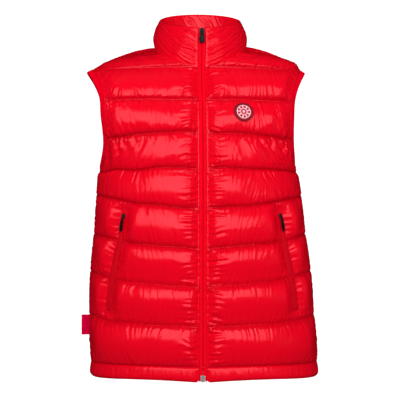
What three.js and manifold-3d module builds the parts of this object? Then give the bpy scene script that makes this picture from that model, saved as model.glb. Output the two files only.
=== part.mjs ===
// Quilted down vest with a stand collar, zipped up and filled out as if worn, with nobody in it.
// Millimetres, +Z up, the front faces -Y, and the wearer's left is +X. The origin is inside the neck opening, at the
// height where the shoulder seams meet the collar, which is where the wearer's shoulders carry it.
import * as THREE from "three";
import { mergeVertices } from "three/addons/utils/BufferGeometryUtils.js";
import Module from "manifold-3d";

const wasm = await Module();
wasm.setup();

// Cloth and seams
const wallHalf = 1.5; // half the thickness where the two faces are stitched together
const seamGap = 0.3; // between pieces that are sewn to each other
const puffHeight = 13; // of the down in a full channel, above its stitching
const fullChannel = 72; // the height of the channel that reaches puffHeight
const edgeMargin = 5; // flat topstitched strip beside the zip
const frontRoundness = 2.4; // exponents of the plan curves
const backRoundness = 2.5;

// The stance of the filled vest: it turns a little about the zip from the hem to the chest
const turnAtChest = THREE.MathUtils.degToRad(5.5);
const turnPivotY = -120;
const turnFullZ = -120;
const collarTurnsBack = THREE.MathUtils.degToRad(3); // the neck turns less than the chest
const collarTurnHeight = 130;

// Quilting lines from the hem edge (0) to the collar's front seam (9): heights at the zip and at the centre back,
// and how far the cloth stands in front of and behind the side seams there.
const lines = [
  { zFront: -618, zBack: -618, frontDepth: 127, backDepth: 121 },
  { zFront: -591, zBack: -591, frontDepth: 128, backDepth: 121 },
  { zFront: -518, zBack: -512, frontDepth: 129, backDepth: 119 },
  { zFront: -446, zBack: -436, frontDepth: 128, backDepth: 115 },
  { zFront: -377, zBack: -365, frontDepth: 126, backDepth: 112 },
  { zFront: -303, zBack: -290, frontDepth: 124, backDepth: 112 },
  { zFront: -231, zBack: -226, frontDepth: 122, backDepth: 115 },
  { zFront: -166, zBack: -164, frontDepth: 118, backDepth: 118 },
  { zFront: -107, zBack: -104, frontDepth: 106, backDepth: 112 },
  { zFront: -46, zBack: -44, frontDepth: 78, backDepth: 92 },
];
// The same lines where they reach the side seam, up to the armhole's lowest point (6)
const sideSeam = [
  { z: -618, halfWidth: 208 },
  { z: -591, halfWidth: 209 },
  { z: -504, halfWidth: 207 },
  { z: -423, halfWidth: 203 },
  { z: -352, halfWidth: 194.5 },
  { z: -280, halfWidth: 188.5 },
  { z: -236, halfWidth: 185 },
];
// How far round the armhole lines 6 to 9 and the shoulder seam end, in degrees from its lowest point
const armholeAngles = [0, 60, 98, 149, 180];
const hemLine = 1;
const armpitLine = 6;
const yokeLine = 9;
const shoulderLine = 10;

// Armhole: an egg seen from the side, its edge bound with a flat band
const armhole = {
  midZ: -120,
  below: 104,
  above: 71,
  frontReach: 84,
  backReach: 80,
  waistX: 174, // half distance between the two armholes at their middles
  backInset: 6, // how much nearer they are behind
  bottomExtra: 11, // how much further out the lowest and highest points are
  topExtra: 28,
};
const bindingWidth = 12;

// Neck seam, and the collar that stands on it
const neck = { halfWidth: 80, front: 78, back: 62 };
const neckHeights = [
  { angle: 0, z: -46 },
  { angle: 36, z: -43 },
  { angle: 66, z: -33 },
  { angle: 90, z: -9 },
  { angle: 130, z: 2 },
  { angle: 180, z: 6 },
];
const collar = {
  topHalfWidth: 75,
  topFront: 71,
  topBack: 60,
  topZ: 50.5, // at the sides
  topTilt: 20.5, // lower than that at the front, and higher at the back
  puff: 10,
  rimHalf: 3.2, // half thickness of the soft folded rim
};

// Pockets: a slanting zip on each front, given across the front (0 zip, 1 side seam) and in quilting lines
const pocket = { topAcross: 0.527, bottomAcross: 0.65, topLine: 4.7, bottomLine: 2.22, valleyHalf: 6 };

// Hardware
const zipHalfWidth = 6.5;
const zipTapeThickness = 1.2;
const badge = { across: 0.409, line: 7.587, radius: 18.5, thickness: 1.6 };
const sideTab = { width: 17, height: 38, thickness: 1.8, z: -532 };

// Places of the rows in a channel, from its lower line to its upper one, and in the yoke over the shoulder
const channelRows = [0, 0.12, 0.34, 0.64, 0.88];
const yokeRows = [0, 0.1, 0.22, 0.35, 0.5, 0.65, 0.78, 0.9];
const columnsToPocket = 8;
const columnsPastPocket = 5;
const backNeckColumns = 6;
const backShoulderColumns = 7;

const deg = THREE.MathUtils.degToRad;
const lerp = THREE.MathUtils.lerp;
const smooth = (t) => THREE.MathUtils.smoothstep(t, 0, 1);
const vec = (x, y, z) => new THREE.Vector3(x, y, z);

// A smooth curve through a table's values, one for each whole number from first on
function along(values, at, first = 0) {
  const t = THREE.MathUtils.clamp(at - first, 0, values.length - 1);
  const i = Math.min(Math.floor(t), values.length - 2);
  const pick = (k) => values[THREE.MathUtils.clamp(k, 0, values.length - 1)];
  const [a, b, c, d] = [pick(i - 1), pick(i), pick(i + 1), pick(i + 2)];
  const f = t - i;
  const start = (c - a) / 2;
  const end = (d - b) / 2;
  const square = f * f;
  const cube = square * f;
  const fromValues = b * (2 * cube - 3 * square + 1) + c * (3 * square - 2 * cube);
  return fromValues + start * (cube - 2 * square + f) + end * (cube - square);
}
const column = (table, name) => table.map((row) => row[name]);

// The armhole's edge, where the band ends, at an angle in degrees from its lowest point
function armholeEdge(angle, isBack) {
  const a = deg(angle);
  const low = angle <= 90;
  return vec(
    armhole.waistX + (low ? armhole.bottomExtra : armhole.topExtra) * Math.cos(a) ** 2
      - (isBack ? armhole.backInset * Math.sin(a) ** 2 : 0),
    isBack ? armhole.backReach * Math.sin(a) : -armhole.frontReach * Math.sin(a),
    armhole.midZ - (low ? armhole.below : armhole.above) * Math.cos(a),
  );
}

// The way the cloth runs from the armhole's edge back into the panel, square to the edge
function armholeInward(angle, isBack) {
  const a = deg(angle);
  const inward = -0.87 * Math.sin(a / 2) ** 1.3;
  const across = (isBack ? 0.83 : -0.83) * Math.sin(a);
  const upward = angle <= 90 ? -Math.cos(a) : -0.5 * Math.cos(a);
  const run = vec(inward, across, upward);
  if (angle === 0 || angle === 180) return run.setY(0).normalize();
  const edge = armholeEdge(angle + 0.5, isBack).sub(armholeEdge(angle - 0.5, isBack)).normalize();
  return run.addScaledVector(edge, -run.dot(edge)).normalize();
}

// The seam between the panel and the armhole's band
function armholeSeam(angle, isBack) {
  return armholeEdge(angle, isBack).addScaledVector(armholeInward(angle, isBack), bindingWidth);
}

// The cloth's outward direction at the armhole
function armholeNormal(angle, isBack) {
  const step = 2;
  const low = armholeEdge(Math.max(angle - step, 0), isBack);
  const high = armholeEdge(Math.min(angle + step, 180), isBack);
  const n = high.sub(low).cross(armholeInward(angle, isBack));
  if (angle === 0 || angle === 180) n.y = 0;
  return n.x + n.z < 0 ? n.normalize().negate() : n.normalize();
}

// Neck seam and collar rim: 0 degrees is the centre front, 90 the wearer's left, 180 the centre back
function neckHeight(angle) {
  const i = Math.min(neckHeights.findIndex((row) => angle <= row.angle) || 1, neckHeights.length - 1);
  const [a, b] = [neckHeights[i - 1], neckHeights[i]];
  const straight = (angle - a.angle) / (b.angle - a.angle);
  return lerp(a.z, b.z, lerp(straight, smooth(straight), 0.35));
}
function neckSeam(angle) {
  const a = deg(angle);
  const reach = angle <= 90 ? neck.front : neck.back;
  return vec(neck.halfWidth * Math.sin(a), -reach * Math.cos(a), neckHeight(angle));
}
function collarRim(angle) {
  const a = deg(lerp(collarStart, 180, (angle - neckStart) / (180 - neckStart)));
  const reach = angle <= 90 ? collar.topFront : collar.topBack;
  const z = collar.topZ - collar.topTilt * Math.cos(a);
  return vec(collar.topHalfWidth * Math.sin(a), -reach * Math.cos(a), z);
}
const neckStart = THREE.MathUtils.radToDeg(Math.asin((zipHalfWidth + seamGap) / neck.halfWidth));
const collarStart = THREE.MathUtils.radToDeg(Math.asin((zipHalfWidth + seamGap) / collar.topHalfWidth));
function neckOutward(angle) {
  const a = deg(angle);
  const reach = angle <= 90 ? neck.front : neck.back;
  return vec(Math.sin(a) / neck.halfWidth, -Math.cos(a) / reach, 0).normalize();
}

// The shoulder seam, from the collar (0) to the armhole's band (1)
function shoulderSeam(t) {
  const from = neckSeam(90);
  const to = armholeSeam(180, false);
  return vec(lerp(from.x, to.x, t), 0, lerp(from.z, to.z, t * t));
}

// Where the line at this height ends: on the side seam or on the armhole's band
function lineEnd(line, isBack) {
  if (line <= armpitLine)
    return vec(along(column(sideSeam, "halfWidth"), line), 0, along(column(sideSeam, "z"), line));
  return armholeSeam(along(armholeAngles, line, armpitLine), isBack);
}

// A quilting line, or any level between two of them, as points evenly spaced from the centre to its end.
// In plan it is part of a superellipse through the centre and the end.
const fineSteps = 96;
const rowCache = new Map();
function levelRow(line, isBack) {
  const key = `${line} ${isBack}`;
  if (rowCache.has(key)) return rowCache.get(key);
  const depth = along(column(lines, isBack ? "backDepth" : "frontDepth"), line);
  const centreZ = along(column(lines, isBack ? "zBack" : "zFront"), line);
  const power = isBack ? backRoundness : frontRoundness;
  const end = lineEnd(line, isBack);
  const share = (1 - (Math.abs(end.y) / depth) ** power) ** (1 / power);
  const fullWidth = end.x / share;
  const startX = isBack ? 0 : zipHalfWidth + seamGap;
  const points = [];
  for (let i = 0; i <= fineSteps; i++) {
    const bend = Math.sin(((i / fineSteps) * Math.PI) / 2) ** (2 / power);
    const x = Math.max(startX, end.x * bend);
    const inside = Math.max(0, 1 - (x / fullWidth) ** power);
    const y = (isBack ? 1 : -1) * depth * inside ** (1 / power);
    points.push(vec(x, i === fineSteps ? end.y : y, lerp(centreZ, end.z, (x / end.x) ** 2)));
  }
  const lengths = [0];
  for (let i = 1; i < points.length; i++) lengths.push(lengths[i - 1] + points[i].distanceTo(points[i - 1]));
  const row = { points, lengths, length: lengths[fineSteps] };
  rowCache.set(key, row);
  return row;
}
function onRow(row, across) {
  const want = THREE.MathUtils.clamp(across, 0, 1) * row.length;
  const i = Math.max(1, row.lengths.findIndex((l) => l >= want - 1e-9));
  const step = row.lengths[i] - row.lengths[i - 1];
  return row.points[i - 1].clone().lerp(row.points[i], step ? (want - row.lengths[i - 1]) / step : 0);
}

// The upper edge of a panel: the shoulder seam, and on the back the neck seam before it
const backNeckShare = 0.42;
function topEdge(across, isBack) {
  if (!isBack) return shoulderSeam(across);
  if (across < backNeckShare) return neckSeam(180 - (90 * across) / backNeckShare);
  return shoulderSeam((across - backNeckShare) / (1 - backNeckShare));
}

// The stitched surface of a front or back: across runs from the centre to the side, line from the hem up.
// Above the yoke line each column is a quarter ellipse over the shoulder, pulled onto the neck and armhole seams.
function clothPoint(across, line, isBack) {
  if (line <= yokeLine) return onRow(levelRow(line, isBack), across);
  const rise = line - yokeLine;
  const [s, c] = [Math.sin(deg(90 * rise)), Math.cos(deg(90 * rise))];
  const blend = (share) => {
    const low = onRow(levelRow(yokeLine, isBack), share);
    const high = topEdge(share, isBack);
    return vec(lerp(low.x, high.x, s), lerp(high.y, low.y, c), lerp(low.z, high.z, s));
  };
  const centre = isBack ? blend(0) : neckSeam(lerp(neckStart, 90, rise));
  const end = armholeSeam(along(armholeAngles, line, armpitLine), isBack);
  return blend(across)
    .addScaledVector(centre.sub(blend(0)), 1 - across)
    .addScaledVector(end.sub(blend(1)), across);
}

// The outward direction of the stitched surface. On a shared seam both pieces use the same one, so their walls meet.
function clothNormal(across, line, isBack) {
  const step = 0.004;
  if (across > 1 - step && line > armpitLine)
    return armholeNormal(along(armholeAngles, line, armpitLine), isBack);
  if (across > 1 - step || line > shoulderLine - step) {
    const seam = across > 1 - step
      ? lineEnd(Math.min(line + 0.05, armpitLine), isBack).sub(lineEnd(Math.max(line - 0.05, 0), isBack))
      : topEdge(Math.min(across + step, 1), isBack).sub(topEdge(Math.max(across - step, 0), isBack));
    const n = seam.cross(vec(0, 1, 0)).normalize();
    return n.x + n.z < 0 ? n.negate() : n;
  }
  const before = clothPoint(Math.max(across - step, 0), line, isBack);
  const du = clothPoint(Math.min(across + step, 1), line, isBack).sub(before);
  const dv = clothPoint(across, Math.min(line + 0.02, shoulderLine), isBack)
    .sub(clothPoint(across, Math.max(line - 0.02, 0), isBack));
  const n = du.cross(dv).normalize();
  return isBack ? n.negate() : n;
}

// The direction in which both the panel's and the collar's edge are thick, along the neck seam
function neckMitre(angle) {
  const isBack = angle > 90;
  const share = (angle - neckStart) / (90 - neckStart);
  const line = isBack ? shoulderLine - 0.06 : lerp(yokeLine, shoulderLine, share);
  const across = isBack ? (backNeckShare * (180 - angle)) / 90 : 0.05;
  const panel = clothNormal(across, Math.min(line, shoulderLine - 0.06), isBack);
  const mitre = panel.add(neckOutward(angle));
  if (angle === 90) mitre.y = 0;
  if (angle === 180) mitre.x = 0;
  return mitre.normalize();
}

// Height of the down above the stitching
function puff(across, line, isBack) {
  const channel = Math.min(Math.floor(line), yokeLine);
  const hemArch = 3 * Math.max(0, Math.sin(Math.PI * (line - channel))) ** 0.8;
  if (channel < hemLine) return hemArch * rampFromCentre(across, line, isBack, 24);
  const heightHere = channel < yokeLine
    ? (along(column(lines, "zFront"), channel + 1) - along(column(lines, "zFront"), channel)) / fullChannel
    : 0.75;
  const sagged = (line - channel) ** 0.88; // fullest a little below the middle
  const besideNeck = isBack && channel === yokeLine ? smooth((shoulderLine - line) / 0.4) : 1;
  const arch = Math.max(0, Math.sin(Math.PI * Math.min(sagged, 1))) ** 0.7 * besideNeck;
  const length = levelRow(Math.min(line, yokeLine), isBack).length;
  const toEnd = (1 - across) * length;
  const ending = line < armpitLine ? 0.28 + 0.72 * smooth(toEnd / 45) : smooth(toEnd / 30);
  const ramps = rampFromCentre(across, line, isBack, 25) * ending * pocketDip(across, line, isBack);
  return puffHeight * heightHere * arch * ramps;
}
function rampFromCentre(across, line, isBack, reach) {
  if (isBack) return 1;
  const length = levelRow(Math.min(line, yokeLine), false).length;
  return smooth((across * length - edgeMargin) / reach) ** 0.6;
}

// Where the pocket's slanting line crosses a level, and how far it presses the down flat
function pocketAcross(line) {
  return lerp(pocket.bottomAcross, pocket.topAcross, smooth((line - 1.4) / 4.6));
}
function pocketDip(across, line, isBack) {
  if (isBack) return 1;
  const length = levelRow(Math.min(line, yokeLine), false).length;
  const away = Math.abs(across - pocketAcross(line)) * length;
  const flat = 1 - smooth((away - pocket.valleyHalf) / 26) ** 0.8;
  const ends = smooth((pocket.topLine + 0.3 - line) / 0.3) * smooth((line - pocket.bottomLine + 0.3) / 0.2);
  return 1 - flat * ends;
}

// The vest's slight turn: each level turns about an upright axis close to the zip
function turnAt(z) {
  const hem = lines[0].zFront;
  const back = collarTurnsBack * smooth((z - turnFullZ) / collarTurnHeight);
  return turnAtChest * THREE.MathUtils.clamp((z - hem) / (turnFullZ - hem), 0, 1) - back;
}
function posed(p, mirrored) {
  const x = mirrored ? -p.x : p.x;
  const turn = turnAt(p.z);
  const y = p.y - turnPivotY;
  const turnedX = x * Math.cos(turn) - y * Math.sin(turn);
  return vec(turnedX, x * Math.sin(turn) + y * Math.cos(turn) + turnPivotY, p.z);
}

// A closed wall between an outer grid of points, outer[row][column], and a plainer inner grid over the same ground,
// which has only the rows and columns whose numbers are listed.
function wallGeometry(outer, inner, innerRows, innerColumns) {
  const positions = [];
  const index = [];
  const add = (grid) => grid.map((row) => row.map((p) => positions.push(p.x, p.y, p.z) / 3 - 1));
  const face = (flip, a, b, c) => index.push(...(flip ? [a, c, b] : [a, b, c]));
  const skin = (ids, flip) => {
    for (let r = 0; r + 1 < ids.length; r++)
      for (let c = 0; c + 1 < ids[r].length; c++) {
        face(flip, ids[r][c], ids[r][c + 1], ids[r + 1][c + 1]);
        face(flip, ids[r][c], ids[r + 1][c + 1], ids[r + 1][c]);
      }
  };
  const rim = (fine, coarse, kept, flip) => {
    for (let j = 0; j + 1 < coarse.length; j++) {
      for (let k = kept[j]; k < kept[j + 1]; k++) face(flip, fine[k + 1], fine[k], coarse[j]);
      face(flip, fine[kept[j + 1]], coarse[j], coarse[j + 1]);
    }
  };
  const out = add(outer);
  const back = add(inner);
  skin(out, false);
  skin(back, true);
  const edge = (ids, c) => ids.map((row) => row[c]);
  rim(out[0], back[0], innerColumns, false);
  rim(out[out.length - 1], back[back.length - 1], innerColumns, true);
  rim(edge(out, 0), edge(back, 0), innerRows, true);
  rim(edge(out, out[0].length - 1), edge(back, back[0].length - 1), innerRows, false);
  const geometry = new THREE.BufferGeometry();
  geometry.setAttribute("position", new THREE.Float32BufferAttribute(positions, 3));
  geometry.setIndex(index);
  return facingOut(geometry);
}
// The numbers from 0 to count - 1 in steps, ending on the last
const every = (step, count) => Array.from({ length: (count - 1) / step + 1 }, (_, i) => i * step);

// Turns every face round if the shell is inside out
function facingOut(geometry) {
  const p = geometry.attributes.position;
  const ids = geometry.index.array;
  const [a, b, c] = [vec(), vec(), vec()];
  let volume = 0;
  for (let i = 0; i < ids.length; i += 3) {
    a.fromBufferAttribute(p, ids[i]);
    b.fromBufferAttribute(p, ids[i + 1]);
    c.fromBufferAttribute(p, ids[i + 2]);
    volume += a.dot(b.cross(c));
  }
  if (volume < 0) for (let i = 0; i < ids.length; i += 3) [ids[i + 1], ids[i + 2]] = [ids[i + 2], ids[i + 1]];
  geometry.computeVertexNormals();
  return geometry;
}

// Materials
const finish = (name, color, roughness, metalness = 0) =>
  new THREE.MeshStandardMaterial({ name, color, roughness, metalness, side: THREE.FrontSide });
const shellCloth = finish("glossy down-proof nylon", 0xe0102a, 0.35);
const bandCloth = finish("flat nylon band", 0xe4122a, 0.55);
const tapeCloth = finish("polyester zip tape", 0xd8142c, 0.8);
const chainPlastic = finish("nylon zip coil", 0xb80e22, 0.5);
const blackRubber = finish("black moulded rubber", 0x161416, 0.5);
const darkMetal = finish("dark nickel", 0x5d5f60, 0.35, 1);
const greyMetal = finish("grey zinc", 0x8d9290, 0.4, 1);
const wovenBadge = finish("woven badge", 0x7d0a1c, 0.75);
const wovenTab = finish("woven side tab", 0xc00f2c, 0.8);

const vest = new THREE.Group();
function addMesh(name, geometry, material) {
  const mesh = new THREE.Mesh(geometry, material);
  mesh.name = name;
  vest.add(mesh);
  return mesh;
}

// Levels for a panel's rows, from one line to another
function levels(from, to) {
  const found = [];
  for (let channel = from; channel < to; channel++)
    for (const t of channel === yokeLine ? yokeRows : channelRows) found.push(channel + t);
  return [...found, to];
}

// Shares across a front, clustered towards the zip and set along the pocket's flat valley
function frontShares(line) {
  const length = levelRow(Math.min(line, yokeLine), false).length;
  const middle = pocketAcross(line);
  const [low, high] = [middle - pocket.valleyHalf / length, middle + pocket.valleyHalf / length];
  const shares = [0, edgeMargin / length];
  for (let i = 1; i <= columnsToPocket; i++) {
    shares.push(lerp(edgeMargin / length, low, (i / columnsToPocket) ** 1.25));
  }
  shares.push(middle, high);
  for (let i = 1; i <= columnsPastPocket; i++) shares.push(lerp(high, 1, i / columnsPastPocket));
  return shares;
}

// A point of the wall on one side of the stitched surface. from and to are the panel's lowest and highest lines,
// and the point is kept half a gap clear of the seams round the panel.
function wallPoint(across, line, isBack, offset, from, to) {
  const length = levelRow(Math.min(line, yokeLine), isBack).length;
  const half = seamGap / 2;
  const base = clothPoint(Math.min(across, 1 - half / length), line, isBack);
  const normal = clothNormal(across, line, isBack);
  if (across === 1 && line >= armpitLine) {
    const angle = along(armholeAngles, line, armpitLine);
    base.copy(armholeSeam(angle, isBack)).addScaledVector(armholeInward(angle, isBack), half);
  }
  const neckAngle = isBack ? 180 - (90 * across) / backNeckShare : lerp(neckStart, 90, line - yokeLine);
  const onNeck = isBack ? line === shoulderLine && across <= backNeckShare : across === 0 && line >= yokeLine;
  if (onNeck) {
    normal.copy(neckMitre(neckAngle));
    base.addScaledVector(neckOutward(neckAngle), half);
  }
  if (line === to && to <= hemLine) base.z -= half;
  if (line === from && from >= hemLine) base.z += half;
  const onShoulder = line === shoulderLine && !(isBack && across < backNeckShare);
  const onSeamPlane = (across === 1 && line <= armpitLine) || onShoulder;
  if (onSeamPlane) {
    base.y = isBack ? half : -half;
    normal.y = 0;
    normal.normalize();
  }
  return base.addScaledVector(normal, offset);
}

function panelGrid(rows, sharesAt, isBack, offsetAt) {
  const [from, to] = [rows[0], rows[rows.length - 1]];
  const pointAt = (across, line) => wallPoint(across, line, isBack, offsetAt(across, line), from, to);
  return rows.map((line) => sharesAt(line).map((across) => pointAt(across, line)));
}
const mirrorRow = (row) => row.slice(1).map((p) => vec(-p.x, p.y, p.z)).reverse();
const mirrorColumns = (grid) => grid.map((row) => [...mirrorRow(row), ...row]);

function cloth(name, from, to, sharesAt, isBack, mirrored) {
  const rows = levels(from, to);
  const keptInside = (i) => rows[i] > armpitLine - 1 || i % channelRows.length === 0;
  const innerRows = rows.map((_, i) => i).filter(keptInside);
  const columnStep = isBack ? 1 : 2;
  const innerShares = (line) => sharesAt(line).filter((_, i) => i % columnStep === 0);
  let outer = panelGrid(rows, sharesAt, isBack, (u, v) => wallHalf + puff(u, v, isBack));
  let inner = panelGrid(innerRows.map((i) => rows[i]), innerShares, isBack, () => -wallHalf);
  if (isBack) [outer, inner] = [mirrorColumns(outer), mirrorColumns(inner)];
  if (from < hemLine) [outer, inner] = [outer, inner].map((grid) => roundHemCorner(grid));
  const place = (grid) => grid.map((row) => row.map((p) => posed(p, mirrored)));
  const innerColumns = every(columnStep, outer[0].length);
  return addMesh(name, wallGeometry(place(outer), place(inner), innerRows, innerColumns), shellCloth);
}

// The hem's lower corners beside the zip are cut back
const hemCornerRise = 7;
function roundHemCorner(grid) {
  const bottom = grid[0][0].z;
  const start = zipHalfWidth + seamGap;
  for (const row of grid)
    for (const p of row) {
      const share = 1 - THREE.MathUtils.clamp((Math.abs(p.x) - start) / (1.6 * hemCornerRise), 0, 1);
      if (p.y < 0) p.z = Math.max(p.z, bottom + hemCornerRise * share);
    }
  return grid;
}

// Fronts, back and hem casing
const backShares = () => [
  ...Array.from({ length: backNeckColumns }, (_, i) => (backNeckShare * i) / backNeckColumns),
  ...Array.from({ length: backShoulderColumns + 1 }, (_, i) =>
    lerp(backNeckShare, 1, i / backShoulderColumns)),
];
cloth("front_right", hemLine, shoulderLine, frontShares, false, true);
cloth("front_left", hemLine, shoulderLine, frontShares, false, false);
cloth("back", hemLine, shoulderLine, backShares, true, false);
cloth("hem_front_right", 0, hemLine, frontShares, false, true);
cloth("hem_front_left", 0, hemLine, frontShares, false, false);
cloth("hem_back", 0, hemLine, backShares, true, false);

// Collar: one padded band from zip to zip, through the centre back
function collarPoint(angle, height, offset) {
  const turned = Math.abs(angle);
  const low = neckSeam(turned);
  const high = collarRim(turned);
  const base = low.clone().lerp(high, height);
  const outward = neckMitre(turned).lerp(neckOutward(turned), smooth(height / 0.25)).normalize();
  base.addScaledVector(high.sub(low).normalize(), height === 0 ? 2 * seamGap : 0);
  base.addScaledVector(outward, offset);
  return posed(base, angle < 0);
}
function collarSkin(heights, angles, isOuter) {
  return heights.map((h) => angles.map((angle) => {
    const fromZip = smooth((Math.abs(angle) - neckStart) / 22) ** 0.6;
    const full = Math.max(0, Math.sin(Math.PI * h ** 0.9)) * fromZip;
    const half = lerp(wallHalf, collar.rimHalf, smooth(h)) * (h === 1 ? 0.6 : 1);
    return collarPoint(angle, h, isOuter ? half + collar.puff * full : -half - 2.5 * full);
  }));
}
const collarHeights = [0, 0.12, 0.28, 0.5, 0.72, 0.92, 1];
function collarMesh() {
  const front = yokeRows.map((t) => lerp(neckStart, 90, t));
  const back = Array.from({ length: backNeckColumns + 1 }, (_, i) => lerp(90, 180, i / backNeckColumns));
  const half = [...front, ...back];
  const angles = [...half.map((a) => -a), ...half.slice(0, -1).reverse()];
  const outer = collarSkin(collarHeights, angles, true);
  const inner = collarSkin(collarHeights.filter((_, i) => i % 2 === 0), angles, false);
  const geometry = wallGeometry(outer, inner, every(2, outer.length), every(1, angles.length));
  return addMesh("collar", geometry, shellCloth);
}
collarMesh();

// Armhole bands: flat strips from the panel's seam to the armhole's edge, all the way round
function armholeBand(name, mirrored) {
  const halfAngles = levels(armpitLine, shoulderLine).map((line) => along(armholeAngles, line, armpitLine));
  const wholeAngles = [...halfAngles, ...halfAngles.slice(1, -1).map((a) => 360 - a).reverse()];
  const steps = wholeAngles.length;
  const halfThick = 1.3;
  const across = [0.8 * seamGap, bindingWidth * 0.5, bindingWidth];
  const ring = (distance, offset) => wholeAngles.map((whole) => {
    const isBack = whole > 180;
    const angle = isBack ? 360 - whole : whole;
    const p = armholeSeam(angle, isBack).addScaledVector(armholeInward(angle, isBack), -distance);
    return posed(p.addScaledVector(armholeNormal(angle, isBack), offset), mirrored);
  });
  const loops = [
    ...across.map((d, i) => ring(d, halfThick + (i === 1 ? 0.5 : 0))),
    ...[...across].reverse().map((d) => ring(d, -halfThick)),
  ];
  const positions = loops.flatMap((loop) => loop.flatMap((p) => [p.x, p.y, p.z]));
  const index = [];
  for (let l = 0; l < loops.length; l++)
    for (let i = 0; i < steps; i++) {
      const next = (i + 1) % steps;
      const below = ((l + 1) % loops.length) * steps;
      const [a, b] = [l * steps + i, l * steps + next];
      const [c, d] = [below + i, below + next];
      index.push(a, b, d, a, d, c);
    }
  const geometry = new THREE.BufferGeometry();
  geometry.setAttribute("position", new THREE.Float32BufferAttribute(positions, 3));
  geometry.setIndex(index);
  return addMesh(name, facingOut(geometry), bandCloth);
}
armholeBand("armhole_band_right", true);
armholeBand("armhole_band_left", false);

// The zip's path up the centre front, from above the hem to the collar's rim
const zipBoxHeight = 13;
function zipPath() {
  const points = [];
  points.push(vec(0, -lines[0].frontDepth, lines[0].zFront + zipBoxHeight));
  for (let line = hemLine; line <= yokeLine; line += 0.5)
    points.push(vec(0, -along(column(lines, "frontDepth"), line), along(column(lines, "zFront"), line)));
  const top = collarRim(0);
  const base = neckSeam(0);
  for (const t of [0.33, 0.66, 0.97]) points.push(base.clone().lerp(top, t));
  return points;
}
// A flat strip that follows the zip: from x0 to x1, between two distances in front of the stitched surface
function zipStrip(name, x0, x1, low, high, material) {
  const path = zipPath();
  const at = (x, offset) => path.map((p) => posed(vec(x, p.y - offset, p.z), false));
  const outer = at(x0, high).map((p, i) => [p, at(x1, high)[i]]);
  const inner = at(x0, low).map((p, i) => [p, at(x1, low)[i]]);
  return addMesh(name, wallGeometry(outer, inner, every(1, outer.length), every(1, 2)), material);
}
const tapeInside = -0.6;
zipStrip("zip_tape_right", -zipHalfWidth, -seamGap / 2, tapeInside, tapeInside + zipTapeThickness, tapeCloth);
zipStrip("zip_tape_left", seamGap / 2, zipHalfWidth, tapeInside, tapeInside + zipTapeThickness, tapeCloth);
zipStrip("zip_chain", -2.6, 2.6, tapeInside - seamGap - 1.8, tapeInside - seamGap, chainPlastic);

// Booleans for the small hard pieces
function solidOf(geometry) {
  const bare = geometry.index ? geometry.toNonIndexed() : geometry.clone();
  bare.deleteAttribute("normal");
  bare.deleteAttribute("uv");
  const merged = mergeVertices(bare, 1e-4);
  return new wasm.Manifold(
    new wasm.Mesh({
      numProp: 3,
      vertProperties: merged.attributes.position.array,
      triVerts: new Uint32Array(merged.index.array),
    }),
  );
}
function geometryOf(solid) {
  const mesh = solid.getMesh();
  const geometry = new THREE.BufferGeometry();
  geometry.setAttribute("position", new THREE.BufferAttribute(new Float32Array(mesh.vertProperties), 3));
  geometry.setIndex(new THREE.BufferAttribute(mesh.triVerts, 1));
  return geometry;
}
const joined = (...geometries) => geometryOf(geometries.map(solidOf).reduce((a, b) => a.add(b)));
const box = (w, d, h, x, y, z) => new THREE.BoxGeometry(w, d, h).translate(x, y, z);

// An outline with round ends, standing in XZ and centred in Y, its top at height 0
function roundedSlab(topWidth, bottomWidth, length, thickness) {
  const [a, b] = [topWidth / 2, bottomWidth / 2];
  const shape = new THREE.Shape();
  shape.moveTo(-a, -a * 0.5);
  shape.quadraticCurveTo(-a, 0, 0, 0);
  shape.quadraticCurveTo(a, 0, a, -a * 0.5);
  shape.lineTo(b, -length + b);
  shape.absarc(0, -length + b, b, 0, -Math.PI, true);
  shape.closePath();
  const bevel = thickness * 0.22;
  const geometry = new THREE.ExtrudeGeometry(shape, {
    depth: thickness - 2 * bevel,
    bevelEnabled: true,
    bevelThickness: bevel,
    bevelSize: bevel,
    bevelOffset: -bevel,
    bevelSegments: 1,
    curveSegments: 6,
  });
  return geometry.translate(0, 0, -(thickness - 2 * bevel) / 2).rotateX(Math.PI / 2);
}

// A slider with a bridge over its middle. Its local origin is the hinge axis of the pull, its local -Y faces out.
const slider = { width: 8.5, height: 12, thick: 3, axisOut: 1.9, bridgeHalf: 4.4, bridgeWidth: 1.8 };
function sliderGeometry(scale) {
  const s = slider;
  const body = box(s.width, s.thick, s.height, 0, s.axisOut + s.thick / 2, -0.5);
  const deck = -(1.2 + 0.4); // the bridge's underside, in front of the pull's bar
  const legs = [1, -1].map((side) =>
    box(s.bridgeWidth, s.axisOut - deck + 0.4, 1.2, 0, (s.axisOut + 0.2 + deck) / 2, side * s.bridgeHalf));
  const top = box(s.bridgeWidth, 1.1, 2 * s.bridgeHalf + 1.2, 0, deck - 0.5, 0);
  return joined(body, ...legs, top).scale(scale, scale, scale);
}
// A pull: a bar under the bridge, two arms beside it, and the grip below
function pullGeometry(scale, gripWidth, gripLength, gripThick) {
  const arm = 7.6;
  const barHalf = 0.7;
  const bar = box(6.6, 2 * barHalf, 2 * barHalf, 0, 0, 0);
  const arms = [1, -1].map((side) => box(1.4, 2 * barHalf, arm, side * 2.6, 0, -arm / 2 + barHalf));
  const ring = joined(bar, ...arms).scale(scale, scale, scale);
  const grip = roundedSlab(gripWidth * 0.72, gripWidth, gripLength, gripThick);
  grip.translate(0, -0.35, -(arm - 1.6) * scale);
  return joined(ring, grip);
}

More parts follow.
